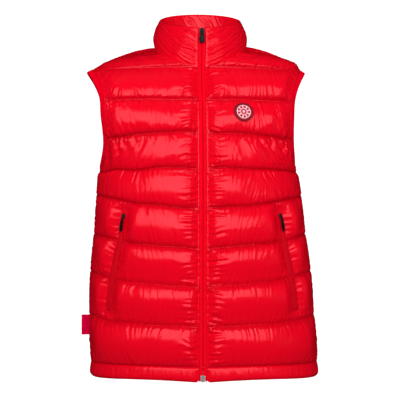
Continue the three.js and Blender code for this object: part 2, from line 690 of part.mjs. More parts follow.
// Hardware is placed by a frame: where it is, which way out, and which way its zip runs up
function placed(mesh, at, outward, upward) {
  const y = outward.clone().negate().normalize();
  const x = y.clone().cross(upward).normalize();
  const z = x.clone().cross(y).normalize();
  mesh.matrixAutoUpdate = false;
  mesh.matrix.makeBasis(x, y, z).setPosition(at);
  mesh.matrix.decompose(mesh.position, mesh.quaternion, mesh.scale);
  mesh.matrixAutoUpdate = true;
  return mesh;
}
const turned = (v, angle) => v.clone().applyAxisAngle(vec(0, 0, 1), angle);

function frontZipHardware() {
  const path = zipPath();
  const [low, high] = [path[path.length - 2], path[path.length - 1]];
  const up = high.clone().sub(low).normalize();
  const seat = high.clone().addScaledVector(up, -5);
  const out = vec(0, -1, 0).projectOnPlane(up).normalize();
  const tapeFace = tapeInside + zipTapeThickness;
  const hinge = seat.clone().addScaledVector(out, tapeFace + seamGap + slider.thick + slider.axisOut);
  const turn = turnAt(hinge.z);
  const place = (mesh) => placed(mesh, posed(hinge, false), turned(out, turn), turned(up, turn));
  place(addMesh("zip_slider", sliderGeometry(1), darkMetal));
  place(addMesh("zip_pull", pullGeometry(1, 11.5, 17, 3), blackRubber));
  const foot = path[0];
  const box3 = roundedSlab(8, 7.4, zipBoxHeight - 1, 4).translate(0, 0, 0);
  const at = vec(0, foot.y - 0.4, foot.z - seamGap);
  placed(addMesh("zip_box", box3, greyMetal), posed(at, false), vec(0, -1, 0), vec(0, 0, 1));
}
frontZipHardware();

// Pockets: a zip strip in the flat valley, with its slider and pull at the top
const pocketPull = { scale: 0.72, gripWidth: 6.4, gripLength: 25, gripThick: 2.4 };
const pocketTape = { halfWidth: 4, thickness: 1.3 };
function pocketZip(side, mirrored) {
  const isBeside = (line) => line > pocket.bottomLine && line <= pocket.topLine;
  const rows = [pocket.bottomLine, ...levels(2, 5).filter(isBeside)];
  const face = wallHalf + 1.4 * seamGap;
  const strip = (shift, offset) => rows.map((line) => {
    const length = levelRow(line, false).length;
    const across = pocketAcross(line) + shift / length;
    const n = clothNormal(pocketAcross(line), line, false);
    return posed(clothPoint(across, line, false).addScaledVector(n, offset), mirrored);
  });
  const grid = (offset) => {
    const [a, b] = [strip(-pocketTape.halfWidth, offset), strip(pocketTape.halfWidth, offset)];
    return a.map((p, i) => [p, b[i]]);
  };
  const [outer, inner] = [grid(face + pocketTape.thickness), grid(face)];
  addMesh(`pocket_zip_${side}`, wallGeometry(outer, inner, every(1, rows.length), every(1, 2)), tapeCloth);
  const line = pocket.topLine - 0.1;
  const point = (at) => posed(clothPoint(pocketAcross(at), at, false), mirrored);
  const up = point(line).sub(point(line - 0.35)).normalize();
  const length = levelRow(line, false).length;
  const beside = posed(clothPoint(pocketAcross(line) + 4 / length, line, false), mirrored).sub(point(line));
  const out = beside.cross(up).normalize();
  if (out.y > 0) out.negate();
  const reach = face + pocketTape.thickness + seamGap + (slider.thick + slider.axisOut) * pocketPull.scale;
  const hinge = point(line).addScaledVector(out, reach);
  const place = (mesh) => placed(mesh, hinge, out, up);
  place(addMesh(`pocket_slider_${side}`, sliderGeometry(pocketPull.scale), darkMetal));
  const { scale, gripWidth, gripLength, gripThick } = pocketPull;
  place(addMesh(`pocket_pull_${side}`, pullGeometry(scale, gripWidth, gripLength, gripThick), blackRubber));
}
pocketZip("right", true);
pocketZip("left", false);

// Round woven badge on the wearer's left chest, laid on the puff under it
function badgeMesh() {
  const rings = [0, 0.5, 0.86, 1];
  const spokes = 28;
  const row = levelRow(badge.line, false);
  const channel = lines[8].zFront - lines[7].zFront;
  const ringPoints = (share, offset) => Array.from({ length: spokes }, (_, i) => {
    const a = (2 * Math.PI * i) / spokes;
    const across = badge.across + (badge.radius * share * Math.cos(a)) / row.length;
    const line = badge.line + (badge.radius * share * Math.sin(a)) / channel;
    const lift = wallHalf + puff(across, line, false) + offset;
    const n = clothNormal(badge.across, badge.line, false);
    return posed(clothPoint(across, line, false).addScaledVector(n, lift), false);
  });
  const last = rings.length - 1;
  const face = (offset, rim) => rings.map((share, i) =>
    ringPoints(Math.max(share, 1e-3), i === last ? rim : offset));
  const layers = [...face(badge.thickness + 1.1, badge.thickness + 0.7), ...face(0.8, 0.8).reverse()];
  const positions = layers.flatMap((loop) => loop.flatMap((p) => [p.x, p.y, p.z]));
  const index = [];
  for (let l = 0; l + 1 < layers.length; l++)
    for (let i = 0; i < spokes; i++) {
      const [a, b] = [l * spokes + i, l * spokes + ((i + 1) % spokes)];
      index.push(a, b, b + spokes, a, b + spokes, a + spokes);
    }
  for (let i = 1; i + 1 < spokes; i++) {
    const last = (layers.length - 1) * spokes;
    index.push(0, i + 1, i, last, last + i, last + i + 1);
  }
  const geometry = new THREE.BufferGeometry();
  geometry.setAttribute("position", new THREE.Float32BufferAttribute(positions, 3));
  geometry.setIndex(index);
  return addMesh("badge", facingOut(geometry), wovenBadge);
}
badgeMesh();

// Folded ribbon tab standing out of the wearer's right side seam
function sideTabMesh() {
  const line = 2 - (sideTab.z - sideSeam[2].z) / (sideSeam[1].z - sideSeam[2].z);
  const seam = lineEnd(line, false);
  const lift = wallHalf + puff(1, line, false) + 3 * seamGap;
  const at = posed(vec(seam.x + lift + sideTab.width / 2, 0, sideTab.z), true);
  const body = box(sideTab.width, sideTab.thickness, sideTab.height, 0, 0, 0);
  placed(addMesh("side_tab", body, wovenTab), at, turned(vec(0, -1, 0), turnAt(sideTab.z)), vec(0, 0, 1));
}
sideTabMesh();

export default vest;
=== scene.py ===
import math
import bpy
import numpy as np
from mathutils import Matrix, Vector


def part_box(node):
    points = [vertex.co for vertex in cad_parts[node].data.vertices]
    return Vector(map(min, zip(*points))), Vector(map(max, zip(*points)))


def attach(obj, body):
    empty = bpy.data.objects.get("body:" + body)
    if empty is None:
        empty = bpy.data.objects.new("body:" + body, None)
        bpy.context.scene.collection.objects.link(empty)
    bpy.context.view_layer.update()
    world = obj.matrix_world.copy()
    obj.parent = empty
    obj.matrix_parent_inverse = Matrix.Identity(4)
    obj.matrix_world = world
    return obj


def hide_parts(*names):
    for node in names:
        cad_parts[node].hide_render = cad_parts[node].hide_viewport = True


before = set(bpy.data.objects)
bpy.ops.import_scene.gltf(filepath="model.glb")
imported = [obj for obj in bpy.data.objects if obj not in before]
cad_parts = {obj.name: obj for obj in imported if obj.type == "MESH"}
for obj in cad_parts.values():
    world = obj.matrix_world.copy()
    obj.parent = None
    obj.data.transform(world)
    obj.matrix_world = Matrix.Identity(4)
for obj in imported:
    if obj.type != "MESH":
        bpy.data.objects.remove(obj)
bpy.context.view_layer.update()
print("frame loaded")

# Everything below is worked out in millimetres in the frame's axes and becomes metres when a mesh is made.
# across runs 0 to 1 from the centre to the side seam or armhole.
# line counts the quilting lines up from the hem edge.
# face is -1 in front and 1 behind; the wearer's left half is worked out and the right one mirrors it.

cut = {
    "zFront": [-618, -591, -518, -446, -377, -303, -231, -166, -107, -46],
    "zBack": [-618, -591, -512, -436, -365, -290, -226, -164, -104, -44],
    "frontDepth": [127, 128, 129, 128, 126, 124, 122, 118, 106, 78],
    "backDepth": [121, 121, 119, 115, 112, 112, 115, 118, 112, 92],
    "sideZ": [-618, -591, -504, -423, -352, -280, -236],
    "sideX": [208, 209, 207, 203, 194.5, 188.5, 185],
    "armAngles": [0, 60, 98, 149, 180],
    "frontPower": 2.4,
    "backPower": 2.5,
    "hemLine": 1,
    "armpitLine": 6,
    "yokeLine": 9,
    "shoulderLine": 10,
    "wallHalf": 1.5,
    "backNeckShare": 0.42,
}
arm = {"midZ": -120, "below": 104, "above": 71, "frontReach": 84, "backReach": 80, "waistX": 174,
       "backInset": 6, "bottomExtra": 11, "topExtra": 28, "band": 12}
neck = {"halfWidth": 80, "front": 78, "back": 62,
        "angles": [0, 36, 66, 90, 130, 180], "heights": [-46, -43, -33, -9, 2, 6]}
collar = {"topHalfWidth": 75, "topFront": 71, "topBack": 60, "topZ": 50.5, "topTilt": 20.5}
stance = {
    "rightOut": 10.5,  # the right armhole's edge, further out than on an even figure
    "leftIn": 4.5,
    "leftHemOut": 5.5,
    "turnAtChest": math.radians(5.5),
    "pivotY": -120,
    "fullZ": -120,
    "collarTurnsBack": math.radians(3),
    "collarTurnHeight": 130,
}
zipHalf = 6.5
seamGap = 0.3
channelHigh = 72.0
mirrorX = np.array([-1.0, 1, 1])


def unit(v):
    return v / np.maximum(np.linalg.norm(v, axis=-1, keepdims=True), 1e-9)


def ease(t):
    # the smooth step 3t^2 - 2t^3 with t held between 0 and 1
    t = np.clip(t, 0, 1)
    return t * t * (3 - 2 * t)


def mix(a, b, t):
    return a + (b - a) * t


def stack(*parts):
    return np.stack(np.broadcast_arrays(*parts), axis=-1).astype(float)


def through(values, at):
    # cubic through the values at 0, 1, 2..., with slopes from the two neighbours
    values = np.asarray(values, float)
    at = np.clip(at, 0, len(values) - 1)
    i = np.minimum(np.floor(at).astype(int), len(values) - 2)
    f = at - i
    pick = lambda k: values[np.clip(k, 0, len(values) - 1)]
    a, b, c, d = pick(i - 1), pick(i), pick(i + 1), pick(i + 2)
    return (b * (2 * f**3 - 3 * f**2 + 1) + (c - a) / 2 * (f**3 - 2 * f**2 + f)
            + c * (3 * f**2 - 2 * f**3) + (d - b) / 2 * (f**3 - f**2))


def turnAt(z):
    hem = cut["zFront"][0]
    back = stance["collarTurnsBack"] * ease((z - stance["fullZ"]) / stance["collarTurnHeight"])
    return stance["turnAtChest"] * np.clip((z - hem) / (stance["fullZ"] - hem), 0, 1) - back


def turned(p):
    # each level turns about an upright axis near the zip, by an angle that grows from the hem to the chest
    # before that the wearer's right armhole is moved out a little and the left one in
    x, y, z = p[..., 0], p[..., 1] - stance["pivotY"], p[..., 2]
    right = stance["rightOut"] * ease((z + 198) / 78) * ease((-27 - z) / 26)
    left = stance["leftIn"] * np.exp(-((z + 190) / 55) ** 2) - stance["leftHemOut"] * ease((-490 - z) / 90)
    x = x - right * ease(-x / 150) - left * ease(x / 150)
    angle = turnAt(z)
    turnedY = x * np.sin(angle) + y * np.cos(angle) + stance["pivotY"]
    return stack(x * np.cos(angle) - y * np.sin(angle), turnedY, z)


# The stitched surface of the panels

def armEdge(angle, face):
    # an egg seen from the side, whose upper and lower halves are quarter ellipses of their own heights
    a = np.radians(angle)
    low = np.asarray(angle) <= 90
    reach = arm["backReach"] if face > 0 else arm["frontReach"]
    inset = arm["backInset"] * np.sin(a) ** 2 if face > 0 else 0
    return stack(arm["waistX"] + np.where(low, arm["bottomExtra"], arm["topExtra"]) * np.cos(a) ** 2 - inset,
                 face * reach * np.sin(a),
                 arm["midZ"] - np.where(low, arm["below"], arm["above"]) * np.cos(a))


def armRun(angle, face):
    # the way the cloth leaves the armhole into the panel, square to the edge
    a = np.radians(angle)
    low = np.asarray(angle) <= 90
    upward = np.where(low, -np.cos(a), -0.5 * np.cos(a))
    run = stack(-0.87 * np.sin(a / 2) ** 1.3, face * 0.83 * np.sin(a), upward)
    edge = unit(armEdge(np.minimum(angle + 0.5, 180), face) - armEdge(np.maximum(angle - 0.5, 0), face))
    return unit(run - edge * np.sum(run * edge, axis=-1, keepdims=True))


def armSeam(angle, face):
    return armEdge(angle, face) + arm["band"] * armRun(angle, face)


def armNormal(angle, face):
    along = armEdge(np.minimum(angle + 2, 180), face) - armEdge(np.maximum(angle - 2, 0), face)
    n = unit(np.cross(along, armRun(angle, face)))
    return np.where((n[..., :1] + n[..., 2:]) < 0, -n, n)


def neckHeight(angle):
    angles, heights = np.array(neck["angles"], float), np.array(neck["heights"], float)
    i = np.clip(np.searchsorted(angles, angle, side="left"), 1, len(angles) - 1)
    t = (angle - angles[i - 1]) / (angles[i] - angles[i - 1])
    return mix(heights[i - 1], heights[i], mix(t, ease(t), 0.35))


def neckSeam(angle):
    a = np.radians(angle)
    reach = np.where(np.asarray(angle) <= 90, neck["front"], neck["back"])
    return stack(neck["halfWidth"] * np.sin(a), -reach * np.cos(a), neckHeight(angle))


neckStart = math.degrees(math.asin((zipHalf + seamGap) / neck["halfWidth"]))
collarStart = math.degrees(math.asin((zipHalf + seamGap) / collar["topHalfWidth"]))


def collarRim(angle):
    a = np.radians(mix(collarStart, 180, (angle - neckStart) / (180 - neckStart)))
    reach = np.where(np.asarray(angle) <= 90, collar["topFront"], collar["topBack"])
    height = collar["topZ"] - collar["topTilt"] * np.cos(a)
    return stack(collar["topHalfWidth"] * np.sin(a), -reach * np.cos(a), height)


def neckOutward(angle):
    a = np.radians(angle)
    reach = np.where(np.asarray(angle) <= 90, neck["front"], neck["back"])
    return unit(stack(np.sin(a) / neck["halfWidth"], -np.cos(a) / reach, 0 * a))


def shoulderSeam(t):
    start, end = neckSeam(np.array(90.0)), armSeam(np.array(180.0), -1)
    return stack(mix(start[0], end[0], t), 0 * t, mix(start[2], end[2], t * t))


def topEdge(across, face):
    if face < 0:
        return shoulderSeam(across)
    share = cut["backNeckShare"]
    atNeck = neckSeam(180 - 90 * np.minimum(across, share) / share)
    atShoulder = shoulderSeam(np.clip((across - share) / (1 - share), 0, 1))
    return np.where((across < share)[..., None], atNeck, atShoulder)


def lineEnd(line, face):
    side = stack(through(cut["sideX"], line), 0 * line, through(cut["sideZ"], line))
    hole = armSeam(through(cut["armAngles"], line - cut["armpitLine"]), face)
    return np.where((line <= cut["armpitLine"])[..., None], side, hole)


def onLevels(across, line, face):
    # each level is part of a superellipse in plan, |x/width|^power + |y/depth|^power = 1, through the centre
    # and its end, with the points evenly spaced along it
    steps = 96
    depth = through(cut["backDepth" if face > 0 else "frontDepth"], line)[:, None]
    centreZ = through(cut["zBack" if face > 0 else "zFront"], line)[:, None]
    power = cut["backPower" if face > 0 else "frontPower"]
    end = lineEnd(line, face)[:, None, :]
    share = (1 - (np.abs(end[..., 1]) / depth) ** power) ** (1 / power)
    fullWidth = end[..., 0] / share
    bend = np.sin(np.linspace(0, 1, steps + 1) * math.pi / 2) ** (2 / power)
    x = np.maximum(0 if face > 0 else zipHalf + seamGap, end[..., 0] * bend)
    y = face * depth * np.maximum(0, 1 - (x / fullWidth) ** power) ** (1 / power)
    y[:, -1] = end[:, 0, 1]
    fine = stack(x, y, mix(centreZ, end[..., 2], (x / end[..., 0]) ** 2))
    pieces = np.linalg.norm(np.diff(fine, axis=1), axis=-1)
    length = np.concatenate([np.zeros((len(line), 1)), np.cumsum(pieces, axis=1)], axis=1)
    share = length / length[:, -1:]
    rowNumber = 2.0 * np.arange(len(line))[:, None]
    query = (np.clip(across, 0, 1) + rowNumber).ravel()
    known = (share + rowNumber).ravel()
    points = stack(*[np.interp(query, known, fine[..., k].ravel()).reshape(across.shape) for k in range(3)])
    return points, length[:, -1]


def clothPoints(across, line, face):
    # below the yoke line the levels themselves
    # above it quarter ellipses over the shoulder, pulled onto the seams
    yoke = cut["yokeLine"]
    points, length = onLevels(across, np.minimum(line, yoke), face)
    rise = np.clip(line - yoke, 0, 1)[:, None]
    s, c = np.sin(rise * math.pi / 2), np.cos(rise * math.pi / 2)

    def blend(share):
        low = onLevels(share, np.full(len(line), float(yoke)), face)[0]
        high = topEdge(share, face)
        x, z = mix(low[..., 0], high[..., 0], s), mix(low[..., 2], high[..., 2], s)
        return stack(x, mix(high[..., 1], low[..., 1], c), z)

    first, last = np.zeros_like(across[:, :1]), np.ones_like(across[:, :1])
    centre = blend(first) if face > 0 else neckSeam(mix(neckStart, 90, rise))
    end = armSeam(through(cut["armAngles"], line - cut["armpitLine"]), face)[:, None, :]
    share = across[..., None]
    over = blend(across) + (centre - blend(first)) * (1 - share) + (end - blend(last)) * share
    return np.where((line > yoke)[:, None, None], over, points), length


def gridNormals(p, flip):
    n = np.cross(np.gradient(p, axis=1), np.gradient(p, axis=0))
    return unit(-n if flip else n)


# The down: how high each channel stands, and how the shell gathers where it is stitched

down = {
    "height": 12.5,  # above the stitching, in a channel of full height
    # where each channel is fullest: below 1 the crest lies under the middle, above 1 over it
    "crest": [1.0, 1.15, 1.5, 1.5, 0.88, 0.68, 0.66, 0.68, 0.85, 0.9],
    "roundness": 0.58,
    "zipMargin": 3.0,  # flat strip stitched beside the zip
    "zipReach": 17.0,
    "sideShare": 0.1,  # what is left of the height at the side seam
    "sideReach": 92,
    "armReach": 26.0,
    "yokeShare": {"right": 0.72, "left": 0.95},
    "neckRise": 1.2,  # how much fuller the yoke is beside the neck
    "flatSides": 0.6,  # what the height loses where the cloth faces sideways
    "wander": 2.4,  # the stitched rows rise and fall by this much
    "sideLift": 3.2,
    "liningHeight": 2.4,
    "rowsPerChannel": 42,
    "columnStep": 1.4,
    "gather": 0.006,  # cloth to spare once the puckers are in
    "pressure": 0.008,
    "rounds": 20,
}
pucker = {
    "waves": [6.6, 8.9, 12.3, 19.0],
    "shares": [0.26, 0.36, 0.3, 0.24],
    "seam": 1.5,
    "seamReach": 6.5,
    "zip": 2.7,
    "zipReach": 9,
    "arm": 2.0,
    "armReach": 10,
    "side": 1.1,
    "sideReach": 12,
    "pocket": 0.9,
    "pocketReach": 7,
    "pull": 1.8,
}
badge = {"across": 0.409, "line": 7.587, "radius": 18.5, "thickness": 1.3, "faceRadius": 13.4}
pocket = {"topAcross": 0.527, "bottomAcross": 0.65, "topLine": 4.7, "bottomLine": 2.22, "valleyHalf": 6.5}


def softNoise(shape, cells, seed):
    # random values on a coarse grid, spread smoothly over a fine one
    rng = np.random.default_rng(seed)
    coarse = rng.uniform(-1, 1, (cells[0] + 3, cells[1] + 3))
    r = np.linspace(0, cells[0], shape[0])
    c = np.linspace(0, cells[1], shape[1])
    i, j = r.astype(int), c.astype(int)
    fr, fc = ease(r - i)[:, None], ease(c - j)[None, :]
    top = mix(coarse[np.ix_(i, j)], coarse[np.ix_(i, j + 1)], fc)
    low = mix(coarse[np.ix_(i + 1, j)], coarse[np.ix_(i + 1, j + 1)], fc)
    return mix(top, low, fr)


def folds(at, group, seed):
    # a sum of four waves along a stitched edge; each group of the grid has phases of its own
    rng = np.random.default_rng(seed)
    phases = rng.uniform(0, 2 * math.pi, (16, len(pucker["waves"])))[group]
    total = 0
    for k, (wave, share) in enumerate(zip(pucker["waves"], pucker["shares"])):
        total = total + share * np.cos(2 * math.pi * at / wave + phases[..., k])
    return total


def fromEdge(distance, reach):
    # nothing at the stitches, most at one reach from them, then fading
    d = np.maximum(distance, 0) / reach
    return d * np.exp(1 - d)


def pocketAcross(line):
    return mix(pocket["bottomAcross"], pocket["topAcross"], ease((line - 1.4) / 4.6))


def pocketAway(across, line, length):
    # how far a point is from the pocket's slanting line, in mm, and far away above and below its ends
    away = np.abs(across - pocketAcross(line)[:, None]) * length[:, None]
    past = np.maximum(line - pocket["topLine"], pocket["bottomLine"] - line)[:, None] * channelHigh
    return np.hypot(away, np.maximum(past, 0))


def fromSeams(base, s, perChannel):
    # how far each point is above the stitches under it and below the ones over it, taken at the same
    # distance s from the zip
    row = np.arange(len(base))
    under = np.minimum(row // perChannel * perChannel, len(base) - 1 - perChannel)
    beside = lambda k, r: stack(*[np.interp(s[k], s[r], base[r, :, axis]) for axis in range(3)])
    below = np.stack([beside(k, r) for k, r in enumerate(under)])
    above = np.stack([beside(k, r + perChannel) for k, r in enumerate(under)])
    return np.linalg.norm(base - below, axis=-1), np.linalg.norm(above - base, axis=-1)


def puffHeights(across, line, face, length, channel, above, below, yokeShare, sideways):
    # height = full height x channel's share x sin(pi t^crest)^roundness, faded out towards each stitched edge
    size = above + below
    t = above / size
    crest = np.array(down["crest"])[channel][:, None]
    arch = np.maximum(0, np.sin(math.pi * np.clip(t, 0, 1) ** crest)) ** down["roundness"]
    yoke = (channel == cut["yokeLine"])[:, None]
    first = cut["backNeckShare"] if face > 0 else 0
    besideNeck = 1 + down["neckRise"] * np.clip((1 - across) / (1 - first), 0, 1) ** 1.3
    toShoulder = ease((cut["shoulderLine"] - line[:, None]) / 0.24)
    arch = arch * np.where(yoke, yokeShare * besideNeck * toShoulder, 1)
    high = np.where(yoke, 0.75, np.minimum(size / channelHigh, 1.05))
    toEnd = (1 - across) * length[:, None]
    low = down["sideShare"] + (1 - down["sideShare"]) * ease(toEnd / down["sideReach"])
    low = low * (1 - down["flatSides"] * sideways)
    # just above the armpit the swell dies away as slowly as it does below
    reach = mix(0.85 * down["sideReach"], down["armReach"], ease((line - cut["armpitLine"]) / 0.9))[:, None]
    side = np.where((line < cut["armpitLine"])[:, None], low, ease(toEnd / reach))
    rise = down["height"] * high * arch * side
    if face < 0:
        rise = rise * ease((across * length[:, None] - down["zipMargin"]) / down["zipReach"]) ** 0.55
        rise = rise * ease((pocketAway(across, line, length) - pocket["valleyHalf"]) / 22) ** 0.8
    return rise


def puckers(across, line, face, length, channel, above, below, seed):
    # folds square to each stitched edge, strongest beside the zip
    shape = across.shape
    s = across * length[:, None]
    up = np.broadcast_to((line * 70)[:, None], shape)
    group = np.broadcast_to(channel[:, None], shape)
    warp = 5 * softNoise(shape, (26, 14), seed + 1)
    lean = 0.5 * softNoise(shape, (9, 6), seed + 2)
    strong = 0.65 + 0.55 * softNoise(shape, (18, 16), seed + 3)
    total = pucker["seam"] * strong * (
        fromEdge(above, pucker["seamReach"]) * folds(s + warp + lean * above, group, seed + 4)
        + fromEdge(below, pucker["seamReach"]) * folds(s + warp - lean * below, group, seed + 5))
    inside = ease(above / 5) * ease(below / 5)
    toEnd = length[:, None] - s
    low = (line < cut["armpitLine"])[:, None]
    edge = np.where(low, pucker["side"], pucker["arm"])
    reach = np.where(low, pucker["sideReach"], pucker["armReach"])
    slant = np.where(low, 0.1, 0.6)
    atSide = folds(up + warp - slant * toEnd, group, seed + 6)
    total = total + edge * strong * inside * fromEdge(toEnd, reach) * atSide
    # slack that runs in from the armhole in slanting folds
    pull = np.exp(-((line[:, None] - 6.6) / 0.55) ** 2) * fromEdge(toEnd, 26) * inside
    total = total + pucker["pull"] * pull * np.cos(2 * math.pi * (up * 0.75 + toEnd * 0.8 + 2 * warp) / 17)
    if face < 0:
        fine = softNoise(shape, (60, 5), seed + 7)
        fan = fromEdge(s - down["zipMargin"], pucker["zipReach"])
        atZip = folds(up * 0.92 + 0.35 * s * lean + warp * 0.5, group, seed + 8)
        total = total + pucker["zip"] * inside * fan * (0.9 + 0.3 * fine) * atZip
        away = pocketAway(across, line, length)
        besidePocket = fromEdge(away - pocket["valleyHalf"], pucker["pocketReach"])
        total = total + pucker["pocket"] * besidePocket * folds(up + warp, group, seed + 9)
        total = total * ease((away - pocket["valleyHalf"]) / 3)
    return total


def pairUp(p, w, axis, start, gap, rest, grip):
    # moves every second pair of points along an axis towards its rest distance, each by its own looseness w
    n = p.shape[axis]
    a = [slice(None)] * 2
    b = [slice(None)] * 2
    a[axis], b[axis] = slice(start, n - gap, 2 * gap), slice(start + gap, n, 2 * gap)
    a, b = tuple(a), tuple(b)
    d = p[b] - p[a]
    length = np.sqrt(np.einsum("...i,...i", d, d)) + 1e-9
    stretch = (length - rest[a]) / length
    d *= (grip * stretch / (w[a] + w[b] + 1e-9))[..., None]
    p[a] += d * w[a][..., None]
    p[b] -= d * w[b][..., None]


def shearPairs(p, w, rest, grip, back):
    # the same for the diagonals of the cells, four interleaved sets
    for r in (0, 1):
        for c in (0, 1):
            q = p[r:, c:]
            v = w[r:, c:]
            rows, cols = (q.shape[0] // 2) * 2, (q.shape[1] // 2) * 2
            if back:
                a, b = (slice(0, rows, 2), slice(1, cols, 2)), (slice(1, rows, 2), slice(0, cols, 2))
            else:
                a, b = (slice(0, rows, 2), slice(0, cols, 2)), (slice(1, rows, 2), slice(1, cols, 2))
            d = q[b] - q[a]
            length = np.sqrt(np.einsum("...i,...i", d, d)) + 1e-9
            want = rest[r:, c:][0:rows:2, 0:cols:2][: d.shape[0], : d.shape[1]]
            d *= (grip * (length - want) / length / (v[a] + v[b] + 1e-9))[..., None]
            q[a] += d * v[a][..., None]
            q[b] -= d * v[b][..., None]


def settle(p, loose, flip, rounds, inner=3):
    # the shell is blown over the down while its threads keep their lengths, with a little cloth to spare:
    # the points move on under the air's push, then pairs of neighbours are pulled back to their distances
    p = p.copy()
    old = p.copy()
    w = loose.astype(float)
    spare = 1 + down["gather"]
    gap = lambda a, b: np.linalg.norm(b - a, axis=-1)
    rest = {key: np.zeros(p.shape[:2]) for key in ("u", "v", "uu", "vv")}
    rest["u"][:, :-1] = gap(p[:, :-1], p[:, 1:]) * spare
    rest["v"][:-1] = gap(p[:-1], p[1:]) * spare
    rest["uu"][:, :-2] = gap(p[:, :-2], p[:, 2:]) * spare
    rest["vv"][:-2] = gap(p[:-2], p[2:]) * spare
    fall = gap(p[:-1, :-1], p[1:, 1:]) * spare
    climb = gap(p[:-1, 1:], p[1:, :-1]) * spare
    for _ in range(rounds):
        speed = (p - old) * 0.9
        old = p.copy()
        p += (speed + gridNormals(p, flip) * down["pressure"]) * w[..., None]
        for _ in range(inner):
            for start in range(2):
                pairUp(p, w, 1, start, 1, rest["u"], 0.9)
                pairUp(p, w, 0, start, 1, rest["v"], 0.9)
            shearPairs(p, w, fall, 0.25, False)
            shearPairs(p, w, climb, 0.25, True)
            for start in range(4):
                pairUp(p, w, 1, start, 2, rest["uu"], 0.1)
                pairUp(p, w, 0, start, 2, rest["vv"], 0.1)
    return p


# Meshes

def wallMesh(name, outer, inner, step, uv):
    # a closed wall: quads over outer[row, column] and over the inner grid, which keeps every step-th row and
    # column, with fans of triangles round the rim; uv holds two numbers for every outer point
    rows, cols = outer.shape[:2]
    ids = np.arange(rows * cols).reshape(rows, cols)
    low = rows * cols + np.arange(inner.shape[0] * inner.shape[1]).reshape(inner.shape[:2])

    def skin(g, flip):
        q = np.stack([g[:-1, :-1], g[:-1, 1:], g[1:, 1:], g[1:, :-1]], axis=-1).reshape(-1, 4)
        return q[:, ::-1] if flip else q

    def rim(fine, coarse, flip):
        k = np.arange(len(fine) - 1)
        j = np.arange(len(coarse) - 1)
        t = np.concatenate([np.stack([fine[k + 1], fine[k], coarse[k // step]], axis=-1),
                            np.stack([fine[(j + 1) * step], coarse[j], coarse[j + 1]], axis=-1)])
        return t[:, ::-1] if flip else t

    quads = np.concatenate([skin(ids, False), skin(low, True)])
    tris = np.concatenate([rim(ids[0], low[0], False), rim(ids[-1], low[-1], True),
                           rim(ids[:, 0], low[:, 0], True), rim(ids[:, -1], low[:, -1], False)])
    points = np.concatenate([outer.reshape(-1, 3), inner.reshape(-1, 3)]) * 0.001
    innerUv = uv[::step, ::step]
    return buildMesh(name, points, quads, tris, np.concatenate([uv.reshape(-1, 2), innerUv.reshape(-1, 2)]))


def buildMesh(name, points, quads, tris, uv=None):
    # the faces are turned over where the volume they enclose comes out negative
    a, b, c, d = [points[quads[:, k]] for k in range(4)]
    e, f, g = [points[tris[:, k]] for k in range(3)]
    tetrahedra = ((a, b, c), (a, c, d), (e, f, g))
    volume = sum(np.einsum("ij,ij", first, np.cross(second, third)) for first, second, third in tetrahedra)
    if volume < 0:
        quads, tris = quads[:, ::-1], tris[:, ::-1]
    corners = np.concatenate([quads.ravel(), tris.ravel()]).astype(np.int32)
    sizes = np.concatenate([np.full(len(quads), 4), np.full(len(tris), 3)]).astype(np.int32)
    mesh = bpy.data.meshes.new(name)
    mesh.vertices.add(len(points))
    mesh.vertices.foreach_set("co", points.astype(np.float32).ravel())
    mesh.loops.add(len(corners))
    mesh.loops.foreach_set("vertex_index", corners)
    mesh.polygons.add(len(sizes))
    mesh.polygons.foreach_set("loop_start", (np.cumsum(sizes) - sizes).astype(np.int32))
    mesh.polygons.foreach_set("use_smooth", np.ones(len(sizes), bool))
    mesh.update(calc_edges=True)
    if uv is not None:
        layer = mesh.uv_layers.new(name="cloth")
        layer.data.foreach_set("uv", (uv[corners] * 0.001).astype(np.float32).ravel())
    mesh.validate()
    obj = bpy.data.objects.new(name, mesh)
    bpy.context.scene.collection.objects.link(obj)
    return obj


# Materials

def linear(hexColour):
    # an sRGB hex colour as linear light
    channels = [int(hexColour[i:i + 2], 16) / 255 for i in (1, 3, 5)]
    light = [c / 12.92 if c <= 0.04045 else ((c + 0.055) / 1.055) ** 2.4 for c in channels]
    return (*light, 1.0)


def newMaterial(name):
    material = bpy.data.materials.new(name)
    material.use_nodes = True
    tree = material.node_tree
    shader = next(n for n in tree.nodes if n.type == "BSDF_PRINCIPLED")
    return material, tree, shader


def addNode(tree, kind, settings=None, links=None):
    # one node, its settings by name, and its links from (node, output) to an input
    node = tree.nodes.new(kind)
    for key, value in (settings or {}).items():
        if isinstance(key, int) or key in node.inputs:
            node.inputs[key].default_value = value
        else:
            setattr(node, key, value)
    for key, (source, output) in (links or {}).items():
        tree.links.new(source.outputs[output], node.inputs[key])
    return node


def sums(tree, operation, *terms):
    # a maths node; each term is a number or a (node, output) pair
    numbers = {k: float(term) for k, term in enumerate(terms) if not isinstance(term, tuple)}
    links = {k: term for k, term in enumerate(terms) if isinstance(term, tuple)}
    return addNode(tree, "ShaderNodeMath", {"operation": operation, **numbers}, links)


def grain(tree, where, scale, detail, **more):
    settings = {"Scale": scale, "Detail": detail, **more}
    return addNode(tree, "ShaderNodeTexNoise", settings, {"Vector": where})


def twoTone(tree, patches, first, second):
    shade = addNode(tree, "ShaderNodeMix", {"data_type": "RGBA"}, {"Factor": (patches, "Fac")})
    shade.inputs[6].default_value = first
    shade.inputs[7].default_value = second
    return shade


def fades(tree, value, reach, ends):
    # a smooth step from the first of the ends to the second over the reach, in metres
    settings = {"interpolation_type": "SMOOTHSTEP", "From Min": reach[0], "From Max": reach[1],
                "To Min": ends[0], "To Max": ends[1]}
    return addNode(tree, "ShaderNodeMapRange", settings, {"Value": value})


def bumped(tree, shader, height, strength, distance):
    bump = addNode(tree, "ShaderNodeBump", {"Strength": strength, "Distance": distance}, {"Height": height})
    tree.links.new(bump.outputs["Normal"], shader.inputs["Normal"])


